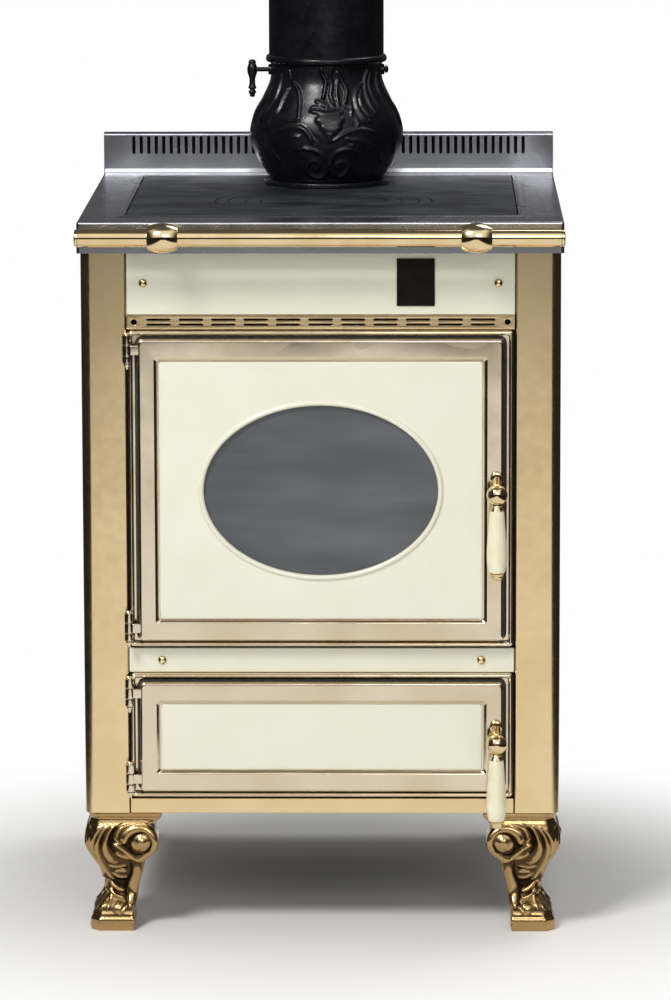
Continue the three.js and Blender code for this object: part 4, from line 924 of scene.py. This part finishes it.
# ------------------------------------------------------------------ splashback
# A steel channel along the back of the hob, folded over at the top with a round edge and
# punched with a row of tall slots. It screens the duct behind the hob.
splash_z = (900.3, 953)
splash_y = (578, 600)
splash_sheet = 2
duct_y = (580.3, 598.2)
duct_top = (950.8, 950.6)
fold = 3.2
slot_pitch = 10
slot_count = 53
slot_half = 2.2
slot_z = (925, 949)
bm = bmesh.new()
face_line = loop(bm, [(x, z, -splash_y[0]) for x, z in (
    (-half_hob, splash_z[0]), (half_hob, splash_z[0]), (half_hob, splash_z[1] - fold),
    (-half_hob, splash_z[1] - fold))])
top_edge = bm.edges.get(face_line[2:4])
slot_lines = []
for index in range(slot_count):
    x = (index - (slot_count - 1) / 2) * slot_pitch
    slot_lines.append(loop(bm, rounded(x - slot_half, x + slot_half, slot_z[0], slot_z[1],
                                       slot_half - 0.05, -splash_y[0], 3)))
fill(bm, face_line, *slot_lines)
stand(bm)
edges = [top_edge]
path = [(splash_y[0] + fold * (1 - math.cos(a)), splash_z[1] - fold * (1 - math.sin(a)))
        for a in (math.pi / 2 * i / 5 for i in range(6))]
path += [(splash_y[1] - 1, splash_z[1])]
for (y0, z0), (y1, z1) in zip(path, path[1:]):
    grown = bmesh.ops.extrude_edge_only(bm, edges=edges)["geom"]
    edges = [item for item in grown if isinstance(item, bmesh.types.BMEdge)]
    edges = [e for e in edges if abs(e.verts[0].co.x - e.verts[1].co.x) > half_hob]
    bmesh.ops.translate(bm, vec=(0, y1 - y0, z1 - z0),
                        verts=[v for v in grown if isinstance(v, bmesh.types.BMVert)])
bmesh.ops.recalc_face_normals(bm, faces=bm.faces)
if max(bm.faces, key=lambda f: f.calc_center_median().z).normal.z < 0:
    bmesh.ops.reverse_faces(bm, faces=bm.faces)
bmesh.ops.solidify(bm, geom=bm.faces, thickness=splash_sheet)
old = set(bm.verts)
# The bead that seals its foot to the hob is drawn upright and laid along it.
prism(bm, [(576.5, 900.3), (578.2, 906), (578.2, 900.3)], 1 - half_hob, half_hob - 1)
for vert in set(bm.verts) - old:
    vert.co = Vector((vert.co.z, vert.co.x, vert.co.y))
piece("splash_sheet", bm, brushed_steel, replaces=["splashback"])

# The duct behind it is coated black inside as painted shade, so that its slots look dark.
bm = bmesh.new()
rounded_block(bm, *hob_x, splash_y[1] - splash_sheet, splash_y[1], hob_z[0], duct_top[0], 0.4)
for x in (-half_hob, half_hob - splash_sheet):
    rounded_block(bm, x, x + splash_sheet, *duct_y, hob_z[0], duct_top[1], 0.4)
piece("splash_duct", bm, stoved_black, replaces=["splashback"])

# ------------------------------------------------------------------ towel rail
# A polished brass tube with plugged ends, held out in front of the hob by two turned brackets.
rail_y = -60
rail_z = 884.6
rail_radius = 11
bracket_x = 192
bracket_half = 18.6
cap = [(0, 0), (7.4, 0), (9.4, 0.35), (10.4, 1.2), (10.6, 2.6), (10.3, 3.3), (10.4, 4.0),
       (rail_radius, 4.6)]
bm = bmesh.new()
turned(bm, [*[(radius, -half_hob + x) for radius, x in cap],
            *[(radius, half_hob - x) for radius, x in reversed(cap)]],
       (0, rail_y, rail_z), "across", 64)
piece("rail_tube", bm, polished_brass, replaces=["towel_rail"])
for side, sign in sides:
    bm = bmesh.new()
    crown = [(18.5 - 4.6 * t * t, t * bracket_half) for t in (i / 8 - 1 for i in range(17))]
    turned(bm, [(rail_radius + 0.3, -bracket_half), (13.2, -bracket_half - 0.3), *crown,
                (13.2, bracket_half + 0.3), (rail_radius + 0.3, bracket_half)],
           (sign * bracket_x, rail_y, rail_z), "across", 64, closed=True)
    turned(bm, [(0, 0.3), (12, 0.3), (12, 1.8), (11.2, 3), (9, 4.4), (7.6, 6.5), (7, 10),
                (7, 22), (8.2, 27), (0, 27)], (sign * bracket_x, -20, rail_z), "out", 48)
    piece(f"bracket_{side}", bm, polished_brass,
          replaces=[f"towel_rail_bracket_{side}"], sharp=40)

# ------------------------------------------------------------------ flue
# A cast iron urn carries the flue pipe. A damper on a shaft through its neck is turned by a
# hanging lever at the left.
pipe_radius = 75
damper_z = 1049

# Black stove enamel on iron: a bluish black, smooth and shining, slightly wavy.
stove_enamel, tree, shader = finish("stove_enamel", "#0E0F13", 0.3, Specular_IOR_Level=0.32)
two_tone(tree, shader, "#0B0C10", "#13141A", wandering(tree, 30))
between(tree, shader, "Roughness", 0.22, 0.36, wandering(tree, 10))
relief(tree, shader, 0.03, wandering(tree, 3, detail=2))

bm = bmesh.new()
turned(bm, [(73, 1060.3), (pipe_radius, 1060.3), (pipe_radius, 1156.4), (74.5, 1157), (73.4, 1157),
            (73, 1156.5)], (0, flue_y, 0), "up", 128, closed=True)
piece("pipe", bm, stove_enamel, replaces=["flue_pipe"])


def eased(points, steps=6):
    """A smooth line through the points."""
    points = np.array(points, float)
    ends = np.vstack([2 * points[:1] - points[1:2], points, 2 * points[-1:] - points[-2:-1]])
    share = np.linspace(0, 1, steps, endpoint=False)[:, None]
    spans = [(2 * b + (c - a) * share + (2 * a - 5 * b + 4 * c - d) * share ** 2
              + (3 * b - a - 3 * c + d) * share ** 3) / 2
             for a, b, c, d in zip(ends, ends[1:], ends[2:], ends[3:])]
    return np.vstack([*spans, points[-1:]])


def modelled(across, up, strokes, blunt=0.35):
    """The height at each place of round ridges: half width, height and the points of its line."""
    total = np.zeros(across.shape)
    for half, height, points in strokes:
        line = eased(points)
        low, high = line.min(0) - half, line.max(0) + half
        near = ((across > low[0]) & (across < high[0]) & (up > low[1]) & (up < high[1]))
        x, z = across[near], up[near]
        gap = np.full(x.shape, 1e3)
        along = np.zeros(x.shape)
        for index, (start, end) in enumerate(zip(line, line[1:])):
            step = end - start
            share = ((x - start[0]) * step[0] + (z - start[1]) * step[1]) / (step @ step)
            share = np.clip(share, 0, 1)
            away = np.hypot(x - start[0] - share * step[0], z - start[1] - share * step[1])
            along = np.where(away < gap, (index + share) / (len(line) - 1), along)
            gap = np.minimum(away, gap)
        width = half * (blunt + (1 - blunt) * np.sqrt(4 * along * (1 - along)))
        ridge = height * np.clip(1 - (gap / width) ** 2, 0, 1) ** 0.75
        total[near] = np.maximum(total[near], ridge)
    return total


# The urn's relief, drawn as lines round its belly and up it: a burning torch in the middle,
# acanthus leaves that run up to the neck on each side, and two scrolls below.
urn_ridges = [
    (2.6, 2.6, [(-20, 1002.4), (-8, 1000.3), (5.6, 999.6), (22.7, 1001.2)]),
    (2, 1.8, [(-19.1, 1005.7), (-13.1, 1007), (-6.3, 1007.1)]),
    (2.4, 2.4, [(23.6, 1006), (33.5, 1004.5), (35.1, 996.7)]),
    (13, 2.6, [(-9, 990.9), (21, 990.7)]), (12, 2.6, [(-3, 981.9), (17.6, 981.7)]),
    (10, 2.2, [(2, 972.7), (9.4, 972.7)]),
    (3, 2.8, [(-5.5, 1056.8), (-3.9, 1048.2), (0, 1039.8), (-0.6, 1028.3), (-3.8, 1014.8)]),
    (3.4, 3, [(8, 1056.7), (5.9, 1046.5), (8, 1033.1), (6.8, 1021.7), (11.5, 1008.9)]),
    (3, 2.8, [(16, 1050.9), (22.7, 1037.8), (28, 1026.1), (25.3, 1010.3)]),
    (2.6, 2.2, [(16, 1040.2), (14.6, 1028.7), (15.4, 1018.6), (18.2, 1009.2)]),
    (3, 2.2, [(-12.3, 1014.3), (-3.8, 1010.4), (3.9, 1006.8)]),
    (3.4, 2.8, [(52, 1036.6), (43, 1027.3), (40.9, 1016), (45.4, 1002.1), (55, 990.3),
                (65.2, 986.5)]),
    (2.4, 2.2, [(50.2, 1028.5), (47.8, 1018.9), (51.4, 1006.6), (59.4, 997.3), (67.6, 990.4)]),
    (3.2, 2.6, [(62.1, 1052.8), (56.2, 1039.7), (57.3, 1024.9), (63.4, 1010), (75, 996.5)]),
    (2.6, 2.2, [(68.5, 1049), (63.8, 1036), (67.6, 1022.6), (75.7, 1010), (83.6, 1000.6)]),
    (3.6, 3, [(80.7, 1048.5), (80.3, 1031.6), (89.1, 1016.4), (103.2, 997.6), (110.8, 980.8),
              (113.3, 963.8), (107.1, 942.2)]),
    (3.4, 2.6, [(89.5, 1043.9), (93, 1029), (107, 1013.4), (125.9, 995.8), (135.3, 978.7)]),
    (2.2, 2, [(39.7, 993.4), (45.2, 985.9), (41.4, 981)]),
    (2.4, 2, [(-52.2, 1052.1), (-49.4, 1039.3)]),
    (3.2, 2.8, [(-45, 1037.1), (-36.7, 1027.6), (-34, 1016.3), (-34.3, 1003.3), (-35.9, 990.3)]),
    (3, 2.4, [(-52, 1030), (-61.5, 1016.7), (-69.4, 1001.8), (-82.1, 991.3), (-89, 978.5)]),
    (3.2, 2.6, [(-66, 1046), (-69.2, 1035.7), (-76.1, 1017.4), (-94, 997.7), (-105.9, 984.7)]),
    (3.4, 2.6, [(-84, 1044), (-89.7, 1031), (-98.6, 1014.2), (-120.7, 996.5), (-124.8, 983.2)]),
    (2.4, 2.2, [(-57.3, 989.8), (-41.5, 989.3), (-31.4, 994)]),
    (3.2, 2.8, [(-65.5, 975.8), (-49, 980.8), (-34, 981.3), (-24.7, 975.8), (-19.5, 967.6),
                (-17.5, 961)]),
    (2.4, 2, [(-50.9, 965.8), (-42, 969.5), (-33.9, 968.9)]),
    (3.4, 2.4, [(-92.6, 969), (-82.6, 952.4), (-64.8, 935.9)]),
    (3, 2.8, [(-42.7, 950.3), (-34, 953.6), (-24.3, 954.2), (-10.5, 950), (-2.1, 942.6),
              (1.7, 933.7), (2.3, 924.7), (-2.4, 916.9), (-11.9, 914.5), (-21.3, 919.4),
              (-24.1, 928), (-20.5, 935.8), (-13.2, 937.5), (-8.5, 932.7), (-9.6, 927),
              (-14.2, 925.8)]),
    (3, 2.8, [(52.8, 946.4), (37.7, 951.7), (23.5, 952.3), (12.3, 946.9), (6.8, 937.2),
              (7.4, 926.4), (12.9, 917.8), (19.8, 915.9), (26.9, 920.6), (29.6, 928.6),
              (25.2, 935.6), (18.2, 935.8), (14.2, 930.5), (17.3, 926.1)]),
    (2.8, 2.6, [(28.7, 934), (35.9, 926.6), (41.3, 916.8), (47.3, 911.6)]),
    (3.2, 2.6, [(9, 962.8), (25.3, 972.4), (40.5, 978.2), (55.7, 977.1), (72.5, 972)]),
    (3.2, 2.6, [(27.1, 967.1), (48.8, 963.1), (66.1, 955.2), (78.1, 942), (85, 928.7)]),
    (2.4, 2, [(30.6, 957.8), (40.5, 957.9), (50.2, 953.9)]),
    (3, 2.2, [(40.5, 949.6), (53.8, 944.6), (63.7, 934), (69.1, 923.6)]),
]
urn_grooves = [
    (1.6, 1.4, [(-23.6, 980.5), (-11.2, 966.5), (4, 958.4), (19.3, 967), (31.5, 975.2),
                (45.3, 982.1)]),
]
urn_belly = eased([(73, 906.9), (75, 908), (90, 930.9), (101, 960), (97.5, 987), (84.5, 1013),
                   (74.5, 1036), (73, 1054), (73.2, 1058.5)], 14)
urn_steps = 336
urn_ground = 0.9

radius, height = urn_belly[:, :1], urn_belly[:, 1:]
slope = np.gradient(urn_belly, axis=0)
slope /= np.hypot(slope[:, 0], slope[:, 1])[:, None]
turn = np.linspace(-math.pi, math.pi, urn_steps, endpoint=False)
folded = (turn + math.pi / 2) % math.pi - math.pi / 2
across = radius * folded
up = height + 0 * folded
lift = modelled(across, up, urn_ridges) - modelled(across, up, urn_grooves)
fade = np.clip(np.minimum(up - 909, 1057 - up) / 2, 0, 1)
lift = (lift - urn_ground) * fade
out = radius + lift * slope[:, 1:]
rise = height - lift * slope[:, :1]


def around(radii, heights):
    """The points of one line round the flue, from the radius and height at each turn."""
    return [(r * math.sin(t), flue_y - r * math.cos(t), z)
            for r, z, t in zip(radii, heights, turn)]


lower = [(66.5, 900.3), (81, 900.3), (82, 901.3), (82, 905), (81, 906.6), (79.5, 907)]
upper = [(74.6, 1059.4), (77.6, 1060.1), (78.8, 1062), (79, 1064), (78.8, 1066), (77.6, 1068),
         (75, 1069.4), (72.7, 1070), (72.7, 1085.6), (72.3, 1086), (66.5, 1086), (66.5, 1040),
         (78, 1013), (90.5, 987), (94, 960), (83, 931), (68, 908)]
plain_lower, plain_upper = ([([r] * urn_steps, [z] * urn_steps) for r, z in rows]
                            for rows in (lower, upper))
bm = bmesh.new()
skin(bm, [loop(bm, around(*line)) for line in (*plain_lower, *zip(out[1:], rise[1:]),
                                               *plain_upper)], closed=True)
for side in (-1, 1):
    turned(bm, [(3.3, side * 70), (7, side * 70), (7, side * 75.2), (6.2, side * 76),
                (3.3, side * 76)], (0, flue_y, damper_z), "across", 32, closed=True)
piece("urn", bm, stove_enamel, replaces=["flue_collar"], sharp=70)

bm = bmesh.new()
turned(bm, [(0, -103.5), (2.2, -103.5), (3, -102.8), (3, 76.3), (4.3, 76.6), (4.8, 77.4),
            (4.8, 78.9), (4.2, 80), (2.6, 81), (0, 81.3)], (0, flue_y, damper_z), "across", 32)
piece("damper_axle", bm, stove_enamel, "damper", ["damper_shaft"])
dress("damper_plate", stove_enamel)
bm = bmesh.new()
lever = [(0, -36), (2.4, -36), (3.2, -35.2), (3.4, -33), (3.8, -31.6), (4.9, -30.8), (5.1, -29.4),
         (4.7, -28.3), (3.5, -27.3), (3.4, -26), (4.6, -25.2), (5.4, -24), (5, -22.6), (4.3, -21),
         (3.8, -17), (3.9, -12), (5, -8), (6.3, -4.6), (6.6, -1), (6.4, 3), (5.4, 6), (4.6, 7.4),
         (5, 8.8), (4.8, 10.4), (3.8, 12), (2, 12.9), (0, 13)]
turned(bm, [(radius, damper_z + z) for radius, z in lever], (-97, flue_y, 0), "up", 40)
piece("damper_lever", bm, stove_enamel, "damper", ["damper_handle"], sharp=60)

# ------------------------------------------------------------------ feet
# Cast feet, each with a scroll round an eye, an acanthus leaf and a stepped base on both outer
# faces. They start from the frame's solid, taken as a fine even mesh and modelled from there.
foot_grain = 0.95
foot_ground = 1.8
foot_eye = (69.3, 114.3, 11.6)
foot_ridges = [
    (6.8, 3.6, [(47.5, 114), (51.3, 125.3), (61.5, 132), (73.4, 131.6), (82.6, 125.2),
                (87, 115.9), (86.4, 104.3), (80.2, 96.7), (72, 91.7), (62.5, 89.2)]),
    (3.2, 4, [(61, 137.5), (50, 136), (41.5, 130), (38, 122.6), (39.4, 116.2), (44.6, 112.5)]),
    (2.8, 3.2, [(56, 132.6), (48, 127), (45.4, 120), (48, 113.5)]),
    (4.4, 4, [(35.5, 112.5), (44, 107.9), (50.9, 101.5), (56.6, 94.4), (65.5, 89.1)]),
    (4.2, 3, [(22, 137), (13.9, 133), (6, 124.5), (1.4, 110.5), (3.9, 96.8), (9.7, 81.3),
              (16.6, 68), (20.6, 50), (18.6, 38)]),
    (2.9, 3.4, [(27, 138), (18.3, 133.1), (10.1, 122.8), (6.4, 110.4), (7.7, 94.6), (13.5, 79.1),
                (19.8, 65.8), (23.2, 48)]),
    (2.9, 3.6, [(34, 138), (26.4, 134.3), (17.9, 124.6), (13.8, 112.6), (14.1, 98.3),
                (18.1, 82.8), (25.7, 70.4), (33.8, 63.3)]),
    (3.1, 3.8, [(41, 138), (34.5, 134.6), (27.7, 125.6), (24.1, 113.7), (25.4, 101.6),
                (31.7, 91.6), (39.3, 87.1)]),
    (2.4, 3, [(21.4, 109.5), (24.3, 98.6), (29.5, 89.6), (36.9, 84.5)]),
    (3.2, 3, [(37.3, 100.6), (45.9, 94.9), (55.6, 92.4)]),
    (3, 2.3, [(28.6, 82.4), (37.7, 79.6), (49, 82.5)]),
    (3.8, 2.4, [(36.5, 73.4), (43, 74.8), (49.1, 73.4)]),
    (2.8, 2.2, [(32.1, 71.7), (40.6, 66.4), (50.3, 66)]),
    (2.6, 3, [(24.7, 62.6), (32.7, 55.1), (40.3, 50.2), (47.2, 48.2)]),
    (2.4, 3, [(22.9, 58.7), (25.1, 49), (31.4, 40.9)]),
    (2.6, 3, [(27.5, 52.3), (33.7, 44.8), (40.8, 41.3), (46.3, 40.5)]),
    (7, 3.4, [(63.5, 80.2), (63.1, 65.7), (58, 54), (55.8, 42.4), (54.5, 31)]),
    (1.9, 1.8, [(30.6, 41.7), (28, 33), (26, 27)]),
    (1.9, 1.8, [(25.1, 41.2), (20.6, 33.5), (14.5, 25.5)]),
    (1.9, 1.6, [(21.4, 40), (15.1, 33.4), (9.2, 26.1)]),
    (9, 2.6, [(40, 34), (42, 22)]),
]
foot_grooves = [
    (1.5, 2.4, [(56.2, 117.2), (61.1, 124.3), (69.6, 127.2), (77.7, 124), (82.2, 114.6),
                (79.9, 106.2), (74.5, 101.2)]),
    (1.6, 1.8, [(55.2, 108.1), (57.7, 101.1), (63, 97.7), (70, 98)]),
    (1.7, 2, [(35.5, 116.9), (44.1, 113.7), (52.5, 105.1), (58.3, 99.6)]),
    (1.5, 2, [(38.7, 135.6), (32.9, 126.2), (30.6, 114.8), (32.6, 105.3), (39.4, 97.7)]),
    (1.8, 2, [(56, 86.2), (56.3, 72.7), (51, 61), (48.8, 51.8), (48.7, 41.5), (50.4, 37.1),
              (46.4, 30.3), (43.4, 24.9)]),
    (1.3, 1.6, [(34.3, 77.6), (43, 78.5), (51.7, 78.8)]),
    (1.3, 1.6, [(33.9, 65.5), (40.3, 61.5), (51.2, 60.4)]),
    (1.3, 1.6, [(28.3, 63.8), (34.8, 58.5), (42.3, 53.4)]),
    (1.3, 1.6, [(26.2, 54.5), (32.6, 48.6), (40.2, 44.3)]),
]

blank = placed("foot_blank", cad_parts["foot_front_left"].data.copy())
remesh = blank.modifiers.new("even", "REMESH")
remesh.mode = "VOXEL"
remesh.voxel_size = foot_grain * mm
ready = blank.evaluated_get(bpy.context.evaluated_depsgraph_get())
foot_mesh = bpy.data.meshes.new_from_object(ready)
bpy.data.objects.remove(blank)
count = len(foot_mesh.vertices)
place = np.empty(count * 3)
foot_mesh.vertices.foreach_get("co", place)
place = place.reshape(-1, 3) / mm
foot_corner, foot_far = zip(*spans("foot_front_left"))
edge_ends = np.empty(len(foot_mesh.edges) * 2, dtype=np.int32)
foot_mesh.edges.foreach_get("vertices", edge_ends)
one, other = edge_ends.reshape(-1, 2).T
valence = np.bincount(one, minlength=count) + np.bincount(other, minlength=count)


def settled(place, free, passes):
    """Evens the surface out by moving each free vertex towards its neighbours."""
    for _ in range(passes):
        total = np.stack([np.bincount(one, place[other, axis], count)
                          + np.bincount(other, place[one, axis], count) for axis in range(3)], 1)
        place = place + 0.5 * free[:, None] * (total / valence[:, None] - place)
    return place


up = place[:, 2]
body_share = np.clip(np.minimum(up - 17, 145 - up) / 3, 0, 1)
place = settled(place, body_share, 40)
place = settled(place, np.ones(count), 6)
foot_mesh.vertices.foreach_set("co", (place * mm).ravel())
foot_mesh.update()
facing = np.empty(count * 3)
foot_mesh.vertices.foreach_get("normal", facing)
facing = facing.reshape(-1, 3)
cabinet_corner = (-297, front / mm)
up = place[:, 2]
carving = np.zeros(count)
fade = np.clip(np.minimum(up - 21, 139 - up) / 5, 0, 1)
for axis, along_axis in ((1, 0), (0, 1)):
    across = place[:, along_axis] - cabinet_corner[along_axis]
    share = np.clip(-facing[:, axis], 0, 1) ** 2
    carved = (modelled(across, up, foot_ridges) - modelled(across, up, foot_grooves)
              - foot_ground) * fade
    eye = np.hypot(across - foot_eye[0], up - foot_eye[1])
    carving += share * carved * np.clip((eye - foot_eye[2]) / 0.8, 0, 1)
place = settled(place + facing * carving[:, None], np.ones(count), 3)
place = np.clip(place, foot_corner, foot_far)
foot_mesh.vertices.foreach_set("co", (place * mm).ravel())
hollow = foot_mesh.attributes.new("hollow", "FLOAT", "POINT")
hollow.data.foreach_set("value", np.clip(-carving / (2 * foot_ground), 0, 1))

# Gilded casting: an antique gold, bright on the crowns, with dark patina left in the hollows.
gilded_casting, tree, shader = finish("gilded_casting", "#BE9F6C", 0.3, 1.0)
depth = add(tree, "Attribute", attribute_name="hollow").outputs["Fac"]
shade = add(tree, "MapRange", {"Value": depth, "From Min": 0.0, "From Max": 0.5})
two_tone(tree, shader, "#BA9A6A", "#2B2013", shade.outputs[0])
between(tree, shader, "Roughness", 0.2, 0.6, shade.outputs[0])
relief(tree, shader, 0.05, wandering(tree, 2.5, detail=2))
foot_swap = (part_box("foot_front_left")[0].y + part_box("foot_rear_left")[1].y) / mm
for end, flip_y, shift in (("front", 1, 0), ("rear", -1, foot_swap)):
    for side, flip_x in (("left", 1), ("right", -1)):
        bm = bmesh.new()
        bm.from_mesh(foot_mesh)
        bmesh.ops.scale(bm, vec=(flip_x / mm, flip_y / mm, 1 / mm), verts=bm.verts)
        bmesh.ops.translate(bm, vec=(0, shift, 0), verts=bm.verts)
        bmesh.ops.translate(bm, vec=(0, -front / mm, 0), verts=bm.verts)
        piece(f"foot_{end}_{side}_carved", bm, gilded_casting,
              replaces=[f"foot_{end}_{side}"], sharp=180)

# ------------------------------------------------------------------ firebox
# Inside are a cast floor with its grate, a baffle and firebrick on three sides. Their shapes
# are the frame's own.
# Cast iron that has been in the fire: rough, brown-black, with pale ash in the pits.
fired_iron, tree, shader = finish("fired_iron", "#2C2A29", 0.7, 0.5)
two_tone(tree, shader, "#1E1C1B", "#453F3A", wandering(tree, 25, detail=5))
between(tree, shader, "Roughness", 0.6, 0.85, wandering(tree, 8))
relief(tree, shader, 0.35, wandering(tree, 3, detail=4))
for node in ("firebox_floor", "fire_grate", "smoke_baffle"):
    dress(node, fired_iron)

# Pressed firebrick: sandy, matt and coarse, smoked towards the front.
firebrick, tree, shader = finish("firebrick", "#B6A48A", 0.92)
two_tone(tree, shader, "#8E7D66", "#C4B398", wandering(tree, 45, detail=6))
relief(tree, shader, 0.6, wandering(tree, 2.5, detail=5))
for node in ("firebrick_left", "firebrick_right", "firebrick_back"):
    dress(node, firebrick)
